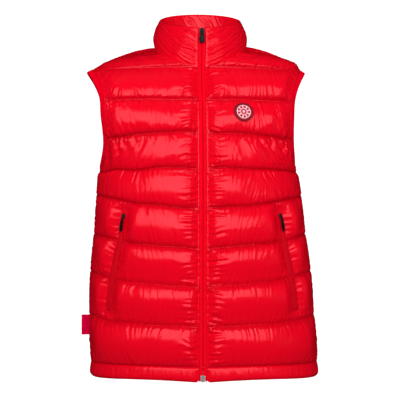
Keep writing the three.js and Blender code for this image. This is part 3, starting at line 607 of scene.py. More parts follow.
# the welt's pair of colours is the shell's painted darker, for the shade the welt lies in beside the pocket
nylon = {"shell": ("#F20020", "#EA001C"), "welt": ("#D60018", "#CC0016"), "roughness": 0.19, "ior": 1.6,
         # paintedShadeAtStitches: how dark the shade painted into the colour at each row of stitches is
         "crinkle": 0.10, "gather": 0.42, "paintedShadeAtStitches": 0.79}


def glossyNylon(name, colours):
    # calendered nylon taffeta, 20 denier: hot rollers leave a smooth skin, so it shines in broad soft-edged
    # bands that fine crinkles and the gathers at the stitches break up; the dyed skin tints what it mirrors
    material, tree, shader = newMaterial(name)
    where = (addNode(tree, "ShaderNodeTexCoord"), "Object")
    shade = twoTone(tree, grain(tree, where, 9.0, 3.0), linear(colours[0]), linear(colours[1]))
    crinkle = grain(tree, where, 95.0, 2.0, Roughness=0.5, Distortion=1.2)
    # the piece's own map gives metres from the zip and metres up, with a row of stitches every channel
    place = (addNode(tree, "ShaderNodeUVMap", {"uv_map": "cloth"}), "UV")
    split = addNode(tree, "ShaderNodeSeparateXYZ", {}, {"Vector": place})
    toRow = sums(tree, "PINGPONG", (split, "Y"), channelHigh / 2000)
    # painted shade: the base colour darkens towards each row of stitches, standing for the shade where the
    # cloth is drawn together there
    depth = fades(tree, (toRow, 0), (0.0, 0.013), (nylon["paintedShadeAtStitches"], 1.0))
    scaled = {"Vector": (shade, 2), "Scale": (depth, 0)}
    shadedBase = addNode(tree, "ShaderNodeVectorMath", {"operation": "SCALE"}, scaled)
    tree.links.new(shadedBase.outputs["Vector"], shader.inputs["Base Color"])
    # gathers: ridges 5 to 7 mm apart that run square to the stitches and fade out within 2 cm of them
    total = sums(tree, "MULTIPLY_ADD", (crinkle, "Fac"), nylon["crinkle"], 0)
    atRows = ((toRow, 0), (0.0005, 0.014), (165.0, 14.0))
    atZip = ((split, 0), (0.0030, 0.022), (16.0, 150.0))
    for away, reach, scale in (atRows, atZip):
        fade = fades(tree, away, reach, (1.0, 0.0))
        spread = addNode(tree, "ShaderNodeMapping", {"vector_type": "POINT"}, {"Vector": place})
        spread.inputs["Scale"].default_value = (*scale, 1.0)
        ridge = grain(tree, (spread, "Vector"), 1.0, 1.5, Roughness=0.45)
        part = sums(tree, "MULTIPLY", (ridge, "Fac"), (fade, 0))
        total = sums(tree, "MULTIPLY_ADD", (part, 0), 1, (total, 0))
    bumped(tree, shader, (total, 0), nylon["gather"], 0.003)
    shader.inputs["Roughness"].default_value = nylon["roughness"]
    shader.inputs["IOR"].default_value = nylon["ior"]
    shader.inputs["Specular IOR Level"].default_value = 1.0
    shader.inputs["Specular Tint"].default_value = (1.0, 0.20, 0.25, 1)
    return material


shellCloth = glossyNylon("calendered nylon taffeta", nylon["shell"])
# the pocket welt: the same taffeta, its colour painted darker to stand for shade
shadedWeltCloth = glossyNylon("calendered nylon taffeta, painted shade", nylon["welt"])


def plainCloth(name, colour, roughness, bumpScale, bumpStrength, specular=0.5):
    # a fine grain over one colour, a touch darker from place to place
    material, tree, shader = newMaterial(name)
    where = (addNode(tree, "ShaderNodeTexCoord"), "Object")
    full = np.array(linear(colour))
    shade = twoTone(tree, grain(tree, where, 60.0, 3.0), full, full * [0.86, 0.86, 0.86, 1])
    tree.links.new(shade.outputs[2], shader.inputs["Base Color"])
    bumped(tree, shader, (grain(tree, where, bumpScale, 2.0), "Fac"), bumpStrength, 0.0005)
    shader.inputs["Roughness"].default_value = roughness
    shader.inputs["Specular IOR Level"].default_value = specular
    return material


emblem = {"rim": "#8B0014", "pale": "#EDB8C4", "dark": "#B8001E", "faceRadius": 13.2, "dashes": 9,
          "dashRing": (6.9, 11.6), "innerRing": (2.6, 5.4)}


def embroideredBadge():
    # satin stitch over twill: a merrowed dark red rim and a plain ring of dashes on pale cloth
    # the map holds mm from the middle, and the threads are drawn coarser than they are
    material, tree, shader = newMaterial("rayon satin stitch")
    place = (addNode(tree, "ShaderNodeUVMap", {"uv_map": "badge"}), "UV")
    split = addNode(tree, "ShaderNodeSeparateXYZ", {}, {"Vector": place})
    radius = addNode(tree, "ShaderNodeVectorMath", {"operation": "LENGTH"}, {"Vector": place})
    turn = sums(tree, "ARCTAN2", (split, "Y"), (split, "X"))
    wave = sums(tree, "COSINE", (sums(tree, "MULTIPLY", (turn, 0), emblem["dashes"]), 0))
    dash = sums(tree, "GREATER_THAN", (wave, 0), -0.35)

    def ring(inner, outer):
        past = sums(tree, "GREATER_THAN", (radius, "Value"), inner)
        short = sums(tree, "LESS_THAN", (radius, "Value"), outer)
        return sums(tree, "MULTIPLY", (past, 0), (short, 0))

    def paint(below, mask, colour):
        mixed = addNode(tree, "ShaderNodeMix", {"data_type": "RGBA"}, {"Factor": (mask, 0)})
        if isinstance(below, str):
            mixed.inputs[6].default_value = linear(below)
        else:
            tree.links.new(below.outputs[2], mixed.inputs[6])
        mixed.inputs[7].default_value = linear(colour)
        return mixed

    dashed = sums(tree, "MULTIPLY", (ring(*emblem["dashRing"]), 0), (dash, 0))
    colour = paint(emblem["pale"], dashed, emblem["dark"])
    colour = paint(colour, ring(*emblem["innerRing"]), emblem["dark"])
    colour = paint(colour, ring(emblem["faceRadius"], 99.0), emblem["rim"])
    tree.links.new(colour.outputs[2], shader.inputs["Base Color"])
    thread = addNode(tree, "ShaderNodeTexWave", {"Scale": 0.9, "Distortion": 1.0}, {"Vector": place})
    bumped(tree, shader, (thread, "Fac"), 0.3, 0.0004)
    shader.inputs["Roughness"].default_value = 0.6
    shader.inputs["Specular IOR Level"].default_value = 0.3
    return material


# a flat binding folded from dull nylon tape: no shine, so the armhole reads as a matt line
bandCloth = plainCloth("flat nylon binding", "#FA0022", 0.5, 900.0, 0.3, 0.0)

tape = {
    "colour": "#F2061F",
    # how bright the tape is at each place, in cm from the zip's middle
    "shades": [(0.0, 0.60), (0.07, 0.66), (0.13, 1.0), (0.24, 1.0), (0.30, 0.84), (0.36, 1.0), (0.52, 1.0),
               (0.66, 0.74)],
}


def zipTapeCloth():
    # the weave, in shadow where the two tapes meet, where the ridge over the coil ends and at the sewn edge
    material = plainCloth("woven polyester zip tape", tape["colour"], 0.8, 1200.0, 0.5, 0.0)
    tree = material.node_tree
    shader = next(n for n in tree.nodes if n.type == "BSDF_PRINCIPLED")
    place = addNode(tree, "ShaderNodeUVMap", {"uv_map": "cloth"})
    parts = addNode(tree, "ShaderNodeSeparateXYZ", {}, {"Vector": (place, "UV")})
    fromMiddle = sums(tree, "MULTIPLY", (parts, "Y"), 100)
    shadow = addNode(tree, "ShaderNodeValToRGB", {}, {"Fac": (fromMiddle, 0)})
    ramp = shadow.color_ramp
    for index, (at, value) in enumerate(tape["shades"]):
        stop = ramp.elements[index] if index < 2 else ramp.elements.new(at)
        stop.position = at
        stop.color = (value, value, value, 1)
    colour = shader.inputs["Base Color"].links[0].from_node
    settings = {"data_type": "RGBA", "blend_type": "MULTIPLY", 0: 1.0}
    shaded = addNode(tree, "ShaderNodeMix", settings, {6: (colour, 2), 7: (shadow, "Color")})
    tree.links.new(shaded.outputs[2], shader.inputs["Base Color"])
    return material


tapeCloth = zipTapeCloth()
# extruded nylon thread with a dull shine in the furrow
coilPlastic = plainCloth("nylon coil", "#A80A1C", 0.45, 400.0, 0.1, 0.2)
# soft moulded grips, dark with a blurred shine
blackRubber = plainCloth("moulded black rubber", "#0B0B0C", 0.42, 500.0, 0.1, 0.3)
# plating over cast zinc, near black
darkMetal = plainCloth("dark nickel plate", "#1E1E20", 0.35, 300.0, 0.05)
# bare cast zinc, pale grey
greyMetal = plainCloth("zinc alloy", "#8E9290", 0.4, 300.0, 0.05)
wovenBadge = embroideredBadge()
# a close-woven ribbon, bluer and duller than the shell
wovenTab = plainCloth("woven ribbon", "#DC0040", 0.8, 900.0, 0.5, 0.0)
# matt thread, a shade under the cloth
redThread = plainCloth("spun polyester thread", "#CC0018", 0.8, 1500.0, 0.3, 0.0)
print("materials made")


def dress(obj, material, body, replaced=()):
    # gives a piece its material, the body it rides and the solids it stands for
    obj.data.materials.append(material)
    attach(obj, body)
    if replaced:
        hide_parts(*replaced)
    return obj


# The quilted panels

def edgeNormals(n, across, line, length, face):
    # where two pieces meet, both are thick along the same direction, so the walls meet without crossing
    toEnd = (1 - across) * length[:, None]
    flat = unit(n * [1, 0, 1])
    near = lambda d: (1 - ease(d / 9))[..., None]
    hole = armNormal(through(cut["armAngles"], line - cut["armpitLine"]), face)[:, None, :]
    lowRows = (line <= cut["armpitLine"])[:, None, None]
    n = unit(mix(n, np.where(lowRows, flat, hole), near(toEnd)))
    toTop = np.broadcast_to(((cut["shoulderLine"] - line) * 60)[:, None], across.shape)
    if face > 0:
        angle = 180 - 90 * np.minimum(across / cut["backNeckShare"], 1)
        onNeck = (across <= cut["backNeckShare"])[..., None]
        top = np.where(onNeck, unit(n + neckOutward(angle)), unit(n * [1, 0, 1]))
        return unit(mix(n, top, near(toTop)))
    n = unit(mix(n, unit(n * [1, 0, 1]), near(toTop)))
    angle = np.broadcast_to(mix(neckStart, 90, np.clip(line - cut["yokeLine"], 0, 1))[:, None], across.shape)
    besideNeck = near(across * length[:, None]) * ease((line - cut["yokeLine"]) / 0.08)[:, None, None]
    return unit(mix(n, unit(n + neckOutward(angle)), besideNeck))


def panelGrid(face, line, columns, bend):
    # the stitched surface of one half on a grid, a hair's breadth inside its seams
    across = np.broadcast_to(np.linspace(0, 1, columns) ** bend, (len(line), columns)).copy()
    length = onLevels(across[:, :2], np.minimum(line, cut["yokeLine"]), face)[1]
    inset = np.minimum(across, 1 - seamGap / 2 / length[:, None])
    base, length = clothPoints(inset, line, face)
    angle = through(cut["armAngles"], line - cut["armpitLine"])
    edge = armSeam(angle, face) + armRun(angle, face) * seamGap / 2
    high = line >= cut["armpitLine"]
    base[high, -1] = edge[high]
    base[~high, -1, 1] = face * seamGap / 2
    if line[-1] > cut["yokeLine"]:
        offNeck = across[-1] > (cut["backNeckShare"] if face > 0 else -1)
        base[-1, offNeck, 1] = face * seamGap / 2
        if face > 0:
            turn = 180 - 90 * across[-1, ~offNeck] / cut["backNeckShare"]
            base[-1, ~offNeck] += neckOutward(turn) * seamGap / 2
        else:
            top = line >= cut["yokeLine"]
            base[top, 0] += neckOutward(mix(neckStart, 90, line[top] - cut["yokeLine"])) * seamGap / 2
    # between the zip and the side the lower edge is drawn up a little by its gathers
    arc = np.sin(math.pi * np.clip(base[..., 0] / cut["sideX"][0], 0, 1))
    lift = arc * np.clip(1 - line / 2, 0, 1)[:, None]
    base[..., 2] += 4.5 * lift
    normal = edgeNormals(gridNormals(base, face > 0), across, line, length, face)
    return base, normal, across, length


def seamRows(first, last, perChannel):
    # rows crowd towards each line of stitches
    whole = np.arange(first, last + 1e-9, 1 / perChannel)
    t = whole - np.floor(whole + 1e-9)
    line = whole - 0.32 * np.sin(2 * math.pi * t) / (2 * math.pi)
    line[0] += seamGap / 2 / channelHigh
    return line


shells = {}


def panel(name, face, mirrored, seed):
    perChannel = down["rowsPerChannel"]
    line = seamRows(cut["hemLine"], cut["shoulderLine"], perChannel)
    widest = 262.0 if face < 0 else 248.0
    columns = int(round(widest / down["columnStep"] / 3)) * 3 + 1
    base, normal, across, length = panelGrid(face, line, columns, 1.1 if face < 0 else 1.0)
    # the stitched rows wander a little up and down
    midRows = ease((line - 1) / 0.6) * ease((8.3 - line) / 0.6)
    ends = ease((1 - across) * length[:, None] / 30) * ease(across * length[:, None] / 25)
    base[..., 2] += down["wander"] * softNoise(across.shape, (11, 6), seed + 90) * midRows[:, None] * ends
    channel = np.minimum(np.floor(line + 1e-6), 9).astype(int)
    onSeam = np.zeros(len(line), bool)
    onSeam[::perChannel] = True
    above, below = fromSeams(base, across * length[:, None], perChannel)
    yokes = down["yokeShare"]
    # where the surface faces the side the down is thin and its stitches hardly draw it in
    sideways = ease((np.abs(normal[..., 0]) - 0.72) / 0.26) * (line < cut["armpitLine"] + 0.01)[:, None]
    place = (across, line, face, length, channel, above, below)
    half = lambda side, k: (puffHeights(*place, yokes[side], sideways), puckers(*place, k))
    if face > 0:
        # the back is one panel from side to side
        both = lambda a, b: np.concatenate([a[:, :0:-1], b], axis=1)
        (riseRight, foldRight), (riseLeft, foldLeft) = half("right", seed + 50), half("left", seed)
        base, normal = both(base * mirrorX, base), both(normal * mirrorX, normal)
        share = ease(0.5 + both(-across, across) / 0.5)
        rise = mix(both(riseRight, riseRight), both(riseLeft, riseLeft), share)
        sideways = both(sideways, sideways)
        fold = both(foldRight, foldLeft) * ease(np.abs(both(-across, across)) / 0.06)
        away = both(across, across)
    else:
        rise, fold = half("right" if mirrored else "left", seed)
        away = across
    loose = np.ones(base.shape[:2])
    loose[onSeam] = 0
    loose[:, -1] = 0
    if face > 0:
        loose[:, 0] = 0
    else:
        loose[across * length[:, None] < down["zipMargin"]] = 0
        loose[pocketAway(across, line, length) < pocket["valleyHalf"] - 0.5] = 0
    rise *= 1 + 0.13 * softNoise(rise.shape, (18, 8 if face < 0 else 16), seed)
    rise[onSeam] = 0
    toSide = (1 - away) * length[:, None]
    sideRows = (ease(line - 1) * ease((cut["armpitLine"] - line) / 0.3))[:, None]
    rise += down["sideLift"] * sideways * ease((toSide - 1) / 14) * sideRows
    if face < 0 and not mirrored:
        # the badge presses the folds under it flat
        row = (line - badge["line"]) * 60
        fromBadge = np.hypot(row[:, None], (across - badge["across"]) * length[:, None])
        fold = fold * ease((fromBadge - badge["radius"] + 3) / 9)
    shell = base + normal * (cut["wallHalf"] + np.maximum(rise + fold * loose, 0))[..., None]
    shell = settle(shell, loose, face > 0, down["rounds"])
    lining = np.minimum(rise * down["liningHeight"] / down["height"], 3)
    inner = (base - normal * (cut["wallHalf"] + lining)[..., None])[::3, ::3]
    uv = stack(away * length[:, None], np.broadcast_to((line * channelHigh)[:, None], away.shape))
    if mirrored:
        shell, inner, normal = shell * mirrorX, inner * mirrorX, normal * mirrorX
    shell = turned(shell)
    shells[name] = {"shell": shell, "normal": normal, "line": line, "across": across, "length": length}
    return wallMesh(name, shell, turned(inner), 3, uv)


for cadName, face, mirrored, seed in (
        ("front_right", -1, True, 11), ("front_left", -1, False, 23), ("back", 1, False, 37)):
    dress(panel("vest_" + cadName, face, mirrored, seed), shellCloth, "vest", [cadName])
print("quilted panels made")


# Collar

collarLook = {"puff": 9.0, "liningPuff": 2.5, "rimHalf": 3.0, "columns": 330,
              "rows": 54, "fold": 1.9, "slope": 0.55, "reach": 56.0, "steep": 1.2}


def tubeMesh(name, grid, closedRows=True, closedColumns=False, away=36.0):
    # grid[row, column]: rows close into a section, columns run along it; open ends get a fan of triangles
    rows, cols = grid.shape[:2]
    ids = np.arange(rows * cols).reshape(rows, cols)
    if closedRows:
        ids = np.concatenate([ids, ids[:1]], axis=0)
    if closedColumns:
        ids = np.concatenate([ids, ids[:, :1]], axis=1)
    quads = np.stack([ids[:-1, :-1], ids[:-1, 1:], ids[1:, 1:], ids[1:, :-1]], axis=-1).reshape(-1, 4)
    points = grid.reshape(-1, 3)
    tris = np.zeros((0, 3), int)
    if not closedColumns:
        middle = np.stack([grid[:, 0].mean(axis=0), grid[:, -1].mean(axis=0)])
        first, last = ids[:, 0], ids[:, -1]
        centre = np.full(len(first) - 1, rows * cols)
        tris = np.concatenate([np.stack([first[:-1], first[1:], centre], axis=-1),
                               np.stack([last[1:], last[:-1], centre + 1], axis=-1)])
        points = np.concatenate([points, middle])
    # its map holds each point's mm from the row of stitches or the zip's middle, or one that is far from both
    ends = np.full(len(points) - rows * cols, 36.0)
    away = np.concatenate([np.broadcast_to(away, (rows, cols)).reshape(-1), ends])
    return buildMesh(name, points * 0.001, quads, tris, stack(500.0, away))


def collarPiece():
    # outer skin up from the neck seam, round the rim and down the inner skin, for every angle from zip to zip
    k = collarLook
    share = np.linspace(-1, 1, k["columns"])
    angle = np.where(share < 0, -1, 1) * mix(neckStart, 180, 1 - np.abs(share))
    whole = np.abs(angle)
    low, high = neckSeam(whole), collarRim(whole)
    upward = unit(high - low)
    low = low + upward * 2 * seamGap
    rows, inRows = k["rows"], k["rows"] // 2
    bend = np.linspace(0, math.pi, 7)[1:-1]
    h = np.concatenate([np.linspace(0, 1, rows), np.ones(5), np.linspace(1, 0, inRows)])
    side = np.concatenate([np.ones(rows), np.cos(bend), -np.ones(inRows)])
    cap = np.concatenate([np.zeros(rows), np.sin(bend), np.zeros(inRows)])
    base = mix(low[None], high[None], (h * (1 - k["rimHalf"] / 90))[:, None, None])
    out = neckOutward(whole)
    around = np.where((angle < 0)[:, None], low * mirrorX, low)
    run = np.concatenate([[0], np.cumsum(np.linalg.norm(np.diff(around, axis=0), axis=-1))])
    arc = np.minimum(run, run[-1] - run)
    fromZip = ease((whole - neckStart) / 22) ** 0.6
    full = np.sin(math.pi * np.clip(h, 0, 1) ** 0.9)[:, None] * fromZip[None]
    thick = mix(cut["wallHalf"], k["rimHalf"], ease(h))[:, None]
    shape = (len(h), len(angle))
    warp = 4 * softNoise(shape, (8, 40), 91)
    strong = 0.35 + np.exp(-(arc / k["reach"]) ** 2)[None] * (1 + 0.4 * softNoise(shape, (6, 30), 92))
    up = (h * 82)[:, None]
    group = np.broadcast_to((angle > 0).astype(int)[None], shape)
    fold = k["fold"] * folds(up - k["slope"] * arc[None] + warp, group, 93) * strong
    # inside, steep folds lean from the rim down towards the back
    steep = k["steep"] * folds(0.9 * run[None] + 0.6 * up + 1.5 * warp, 0 * group, 95)
    steep = steep * (1 + 0.5 * softNoise(shape, (5, 26), 96))
    edges = ease(h / 0.1)[:, None] * ease((1 - h) / 0.08)[:, None] * ease((arc - 1) / 7)[None]
    outer = thick + k["puff"] * full + fold * edges
    innerSkin = thick + k["liningPuff"] * full + np.maximum(steep, -1.2) * edges
    offset = np.where(side[:, None] >= 0, outer, innerSkin) * side[:, None]
    grid = base + out[None] * offset[..., None] + upward[None] * (cap * k["rimHalf"])[:, None, None]
    grid = np.where((angle < 0)[None, :, None], grid * mirrorX, grid)
    return dress(tubeMesh("stand_collar", turned(grid)), shellCloth, "vest", ["collar"])


collarPiece()
print("collar made")


# Hem casing

hemLook = {"columnStep": 1.6, "rows": 10, "height": 27, "puff": 3.4, "fold": 1.2,
           "cornerRise": 7.0}


def hemPiece(name, face, mirrored, seed):
    # outer rows up the casing, inner rows down again; the lower edge is folded round
    k = hemLook
    up = np.linspace(0.02, 1 - seamGap / 2 / k["height"], k["rows"])
    columns = int(252 / k["columnStep"])
    base, normal, across, length = panelGrid(face, up, columns, 1.0)
    s = across * length[:, None]
    group = np.zeros(s.shape, int)
    strong = 0.6 + 0.4 * softNoise(s.shape, (2, 30), seed + 1)
    fold = k["fold"] * folds(s + 3 * softNoise(s.shape, (2, 40), seed), group, seed) * strong
    rise = k["puff"] * np.sin(math.pi * up ** 0.8)[:, None] ** 0.8 * np.ones_like(s)
    ends = ease((length[:, None] - s) / 6) * (ease((s - 1) / 8) if face < 0 else 1)
    shut = np.sin(math.pi * np.clip(up, 0, 1))[:, None] ** 0.5
    outer = base + normal * (cut["wallHalf"] + rise * ends + fold * ends * shut)[..., None]
    inner = base - normal * (cut["wallHalf"] + 0 * s)[..., None]
    if face < 0:
        bottom = cut["zFront"][0]
        share = 1 - np.clip((np.abs(base[..., 0]) - zipHalf - seamGap) / (1.6 * k["cornerRise"]), 0, 1)
        for g in (outer, inner):
            g[..., 2] = np.maximum(g[..., 2], bottom + k["cornerRise"] * (1 - np.sqrt(1 - share ** 2)))
    mid = (outer[:1] + inner[:1]) / 2
    roll = [mid + (inner[:1] - mid) * math.cos(a) - [0, 0, 1.4 * math.sin(a)] for a in (0.6, 1.2, 1.9, 2.5)]
    loop = np.concatenate([outer, inner[::-1]] + roll, axis=0)
    if face > 0:
        loop = np.concatenate([(loop * mirrorX)[:, :0:-1], loop], axis=1)
    if mirrored:
        loop = loop * mirrorX
    return dress(tubeMesh(name, turned(loop)), shellCloth, "vest", [name.replace("casing", "hem")])


hemPiece("casing_front_right", -1, True, 61)
hemPiece("casing_front_left", -1, False, 67)
hemPiece("casing_back", 1, False, 71)
print("hem made")


# Sewing thread

thread = {"every": 3.4, "length": 2.6, "radius": 0.22}
sewn = []


def sew(path, normal, lift=0.1):
    # stitches end to end along a path: their middles, directions and outward sides
    length = np.concatenate([[0], np.cumsum(np.linalg.norm(np.diff(path, axis=0), axis=-1))])
    middle = (np.arange(int(length[-1] / thread["every"])) + 0.5) * thread["every"]
    at = lambda values, where: stack(*[np.interp(where, length, values[:, k]) for k in range(3)])
    n = unit(at(normal, middle))
    sewn.append((at(path, middle) + n * lift, unit(at(path, middle + 0.5) - at(path, middle - 0.5)), n))


def capsules(name, middle, ahead, outward, length, radius):
    # each is three rings of four points: thick in the middle, sinking into the cloth at its ends
    side = unit(np.cross(ahead, outward))
    along = np.array([-0.5, 0, 0.5]) * length
    thick = np.array([0.6, 1.0, 0.6]) * radius
    sink = np.array([-0.7, 0.4, -0.7]) * radius
    turn = np.array([45, 135, 225, 315]) * math.pi / 180
    a = along[None, :, None, None] * ahead[:, None, None, :]
    n = (sink[:, None] + thick[:, None] * np.sin(turn))[None, :, :, None] * outward[:, None, None, :]
    b = (thick[:, None] * np.cos(turn))[None, :, :, None] * side[:, None, None, :]
    points = (middle[:, None, None, :] + a + n + b).reshape(-1, 3)
    k = np.arange(4)
    ring = np.stack([k, (k + 1) % 4, (k + 1) % 4 + 4, k + 4], axis=-1)
    quads = np.concatenate([ring, ring + 4, [[3, 2, 1, 0]], [[8, 9, 10, 11]]])
    quads = (quads[None] + 12 * np.arange(len(middle))[:, None, None]).reshape(-1, 4)
    return buildMesh(name, points * 0.001, quads, np.zeros((0, 3), int))


for key in ("vest_front_right", "vest_front_left", "vest_back"):
    part = shells[key]
    for row in range(0, len(part["line"]) - 1, down["rowsPerChannel"]):
        sew(part["shell"][row], part["normal"][row])
    if key != "vest_back":
        column = int(np.argmax(part["across"][0] * part["length"][0] > 1.9))
        sew(part["shell"][:, column], part["normal"][:, column])


# Armhole bands

bandLook = {"halfThick": 1.3, "crown": 0.35, "around": 380, "fold": 0.3,
            "length": 570, "cutSize": (0.575, 0.0145), "stitchedAt": (1.9, 10.0)}


def armBand(name, mirrored, seed):
    # outer face from the seam to the folded edge, round it and back along the inner face
    k = bandLook
    whole = np.linspace(0, 360, k["around"], endpoint=False)
    angle = np.where(whole > 180, 360 - whole, whole)
    choose = lambda f: np.where((whole > 180)[:, None], f(angle, 1), f(angle, -1))
    seam, run, normal = choose(armSeam), choose(armRun), choose(armNormal)
    edge = arm["band"] - k["halfThick"]
    turn = np.linspace(math.pi / 2, -math.pi / 2, 7)[1:-1]
    face = np.linspace(0.8 * seamGap, edge, 12)
    distance = np.concatenate([face, edge + k["halfThick"] * np.cos(turn), face[::-1]])
    offset = np.concatenate([np.ones(12), np.sin(turn), -np.ones(12)]) * k["halfThick"]
    outer = np.concatenate([np.sin(math.pi * face / arm["band"]), np.zeros(len(turn) + 12)])
    group = np.zeros(len(whole), int)
    ripple = folds(whole / 360 * k["length"], group, seed) * np.sin(math.pi * whole / 360) ** 0.3
    off = offset[:, None] + outer[:, None] * (k["crown"] + k["fold"] * ripple)[None]
    grid = seam[None] - run[None] * distance[:, None, None] + normal[None] * off[..., None]
    flipX = mirrorX if mirrored else 1
    for d in k["stitchedAt"]:
        ring = seam - run * d + normal * (k["halfThick"] + 0.25)
        ring = turned(np.concatenate([ring, ring[:1]]) * flipX)
        sew(ring, np.concatenate([normal, normal[:1]]) * flipX)
    mesh = tubeMesh(name.replace("armhole_band", "binding"), turned(grid * flipX), True, True)
    obj = dress(mesh, bandCloth, "vest", [name])
    return obj


armBand("armhole_band_right", True, 101)
armBand("armhole_band_left", False, 103)
print("armhole bands made")


# Front zip

zipLook = {"half": 7.7, "tapeInside": -0.6, "thickness": 1.2, "step": 1.7, "toothEvery": 1.55,
           "toothLength": 3.6, "toothRadius": 0.68}
hardware = {"width": 8.5, "height": 12, "thick": 3, "axisOut": 1.9, "bridgeHalf": 4.4}


def zipPath(step, start=13.0):
    # up the centre front from its foot, along the collar's edge to just under its rim
    line = np.linspace(cut["hemLine"], cut["yokeLine"], 200)
    low = stack(0 * line, -through(cut["frontDepth"], line), through(cut["zFront"], line))
    foot = np.array([[0, -cut["frontDepth"][0], cut["zFront"][0] + start]])
    t = np.linspace(0, 0.97, 40)[1:, None]
    start, end = neckSeam(np.array(0.0)), collarRim(np.array(0.0))
    path = np.concatenate([foot, low, mix(start, end, t)])
    length = np.concatenate([[0], np.cumsum(np.linalg.norm(np.diff(path, axis=0), axis=-1))])
    where = np.linspace(0, length[-1], int(length[-1] / step) + 1)
    return stack(0 * where, np.interp(where, length, path[:, 1]), np.interp(where, length, path[:, 2]))


def zipTape(name, side):
    # a rounded strip with a low ridge where the coil lies under it and a furrow beside that
    k = zipLook
    # beside the box only its outer part goes on down
    path = zipPath(k["step"], 1.5)
    across = np.concatenate([[0.15], np.linspace(0.35, 6.3, 16), [6.5]])
    inside = 4.1 * (path[:, 2] < cut["zFront"][0] + 13.4)
    edge = np.concatenate([[0.45], np.ones(16), [0.45]])
    ridge = 0.2 * np.exp(-((across - 1.5) / 0.9) ** 2) - 0.22 * np.exp(-((across - 3.0) / 0.4) ** 2)
    outer = k["tapeInside"] + k["thickness"] * (0.5 + 0.5 * edge) + ridge * edge
    inner = k["tapeInside"] + k["thickness"] * (0.5 - 0.5 * edge)
    x = np.concatenate([across, across[::-1]])
    off = np.concatenate([outer, inner[::-1]])[:, None] + 0.12 * softNoise((1, len(path)), (1, 60), 7 + side)
    # its outer edge is sewn in between the shell and the lining
    x = inside + (k["half"] - inside) * (x[:, None] - 0.15) / 6.35 + 0.03 * (inside == 0)
    grid = stack(side * x, path[None, :, 1] - off, path[None, :, 2])
    mesh = tubeMesh(name.replace("zip_tape", "tape"), turned(grid), away=x)
    return dress(mesh, tapeCloth, "vest", [name])


zipTape("zip_tape_right", -1)
zipTape("zip_tape_left", 1)


def zipCoil():
    # loops of the coil behind the tapes, from the left and the right by turns
    path = zipPath(zipLook["toothEvery"])
    turn = np.where(np.arange(len(path)) % 2 == 0, 1, -1)
    middle = turned(stack(0.55 * turn, path[:, 1] + 0.6 + seamGap + 0.9, path[:, 2]))
    ahead = np.broadcast_to([1.0, 0, 0], middle.shape)
    outward = np.broadcast_to([0, 1.0, 0], middle.shape)
    teeth = capsules("zip_coil", middle, ahead, outward, zipLook["toothLength"], zipLook["toothRadius"])
    return dress(teeth, coilPlastic, "vest", ["zip_chain"])


zipCoil()


def placed(points, at, out, up):
    # local -Y faces out and local Z runs up the zip
    y = -unit(out)
    x = unit(np.cross(y, up))
    z = np.cross(x, y)
    return at + points[..., :1] * x + points[..., 1:2] * y + points[..., 2:] * z


def outline(width, height, power, taper, count=48):
    # a superellipse that narrows towards its top
    a = np.linspace(0, 2 * math.pi, count, endpoint=False)
    z = np.sign(np.sin(a)) * np.abs(np.sin(a)) ** (2 / power) * height / 2
    x = np.sign(np.cos(a)) * np.abs(np.cos(a)) ** (2 / power) * width / 2 * (1 - taper * (z / height + 0.5))
    return np.stack([x, z], axis=-1)


def slab(shape, layers):
    # the outline carried through the thickness, drawn in by each layer's inset
    ahead = unit(np.roll(shape, -1, 0) - np.roll(shape, 1, 0))
    inward = np.stack([-ahead[:, 1], ahead[:, 0]], axis=-1)
    rings = [shape + inward * inset for inset, _ in layers]
    return np.stack([stack(r[:, 0], y, r[:, 1]) for r, (_, y) in zip(rings, layers)], axis=1)


def tube(path, radiusIn, radiusY, closed):
    # a ring of ten points round each point of a path in the XZ or YZ plane
    if closed:
        ahead = unit(np.roll(path, -1, 0) - np.roll(path, 1, 0))
    else:
        ahead = unit(np.gradient(path, axis=0))
    flat = np.array([0.0, 1, 0]) if closed else np.array([1.0, 0, 0])
    side = unit(np.cross(ahead, flat))
    a = np.linspace(0, 2 * math.pi, 10, endpoint=False)[:, None, None]
    return path[None] + side[None] * np.cos(a) * radiusIn + flat * np.sin(a) * radiusY


def zipHardware(prefix, at, out, up, scale, grip, pullBody, sliderNode, pullNode):
    k = hardware
    put = lambda grid: placed(grid * scale, at, out, up)
    front, rear = k["axisOut"], k["axisOut"] + k["thick"]
    body = outline(k["width"], k["height"], 3.2, -0.1) + [0, -0.5]
    # a plate, the waist that the chain runs through and a second plate
    layers = [(2.4, front + 0.25), (1.9, front), (0.5, front), (0.12, front + 0.15), (0, front + 0.5),
              (0.1, front + 1.0), (0.8, front + 1.15), (0.8, rear - 1.1), (0.1, rear - 0.95), (0, rear - 0.5),
              (0.4, rear)]
    dress(tubeMesh(prefix + "_slider_body", put(slab(body, layers))), darkMetal, "vest", [sliderNode])
    a = np.linspace(0, math.pi, 24)
    arch = stack(0 * a, k["axisOut"] + 0.2 - 4.25 * np.sin(a) ** 0.55, k["bridgeHalf"] * np.cos(a))
    dress(tubeMesh(prefix + "_slider_bridge", put(tube(arch, 0.5, 0.85, False))), darkMetal, "vest")
    frameWay = outline(5.9, 7.6, 3.6, 0.0, 40) + [0, -3.2]
    way = stack(frameWay[:, 0], 0 * frameWay[:, 0], frameWay[:, 1])
    dress(tubeMesh(prefix + "_pull_ring", put(tube(way, 0.6, 0.6, True)), True, True), darkMetal, pullBody)
    width, length, thick, top = grip
    shape = outline(width, length, 2.7, 0.28) + [0, top - length / 2]
    b, h = thick * 0.3, thick / 2
    # a dished face, rounded edges and a flat back
    skin = [(0.26 * width, -h + 0.45), (0.22 * width, -h + 0.4), (0.18 * width, -h), (b, -h),
            (0.3 * b, -h + 0.3 * b), (0, -h + b), (0, h - b), (0.3 * b, h - 0.3 * b), (b, h), (0.3 * width, h)]
    grid = placed(slab(shape, skin) + [0, -0.35, 0], at, out, up)
    dress(tubeMesh(prefix + "_pull_grip", grid), blackRubber, pullBody, [pullNode])


def spin(v, angle):
    c, s = math.cos(angle), math.sin(angle)
    return np.array([v[0] * c - v[1] * s, v[0] * s + v[1] * c, v[2]])


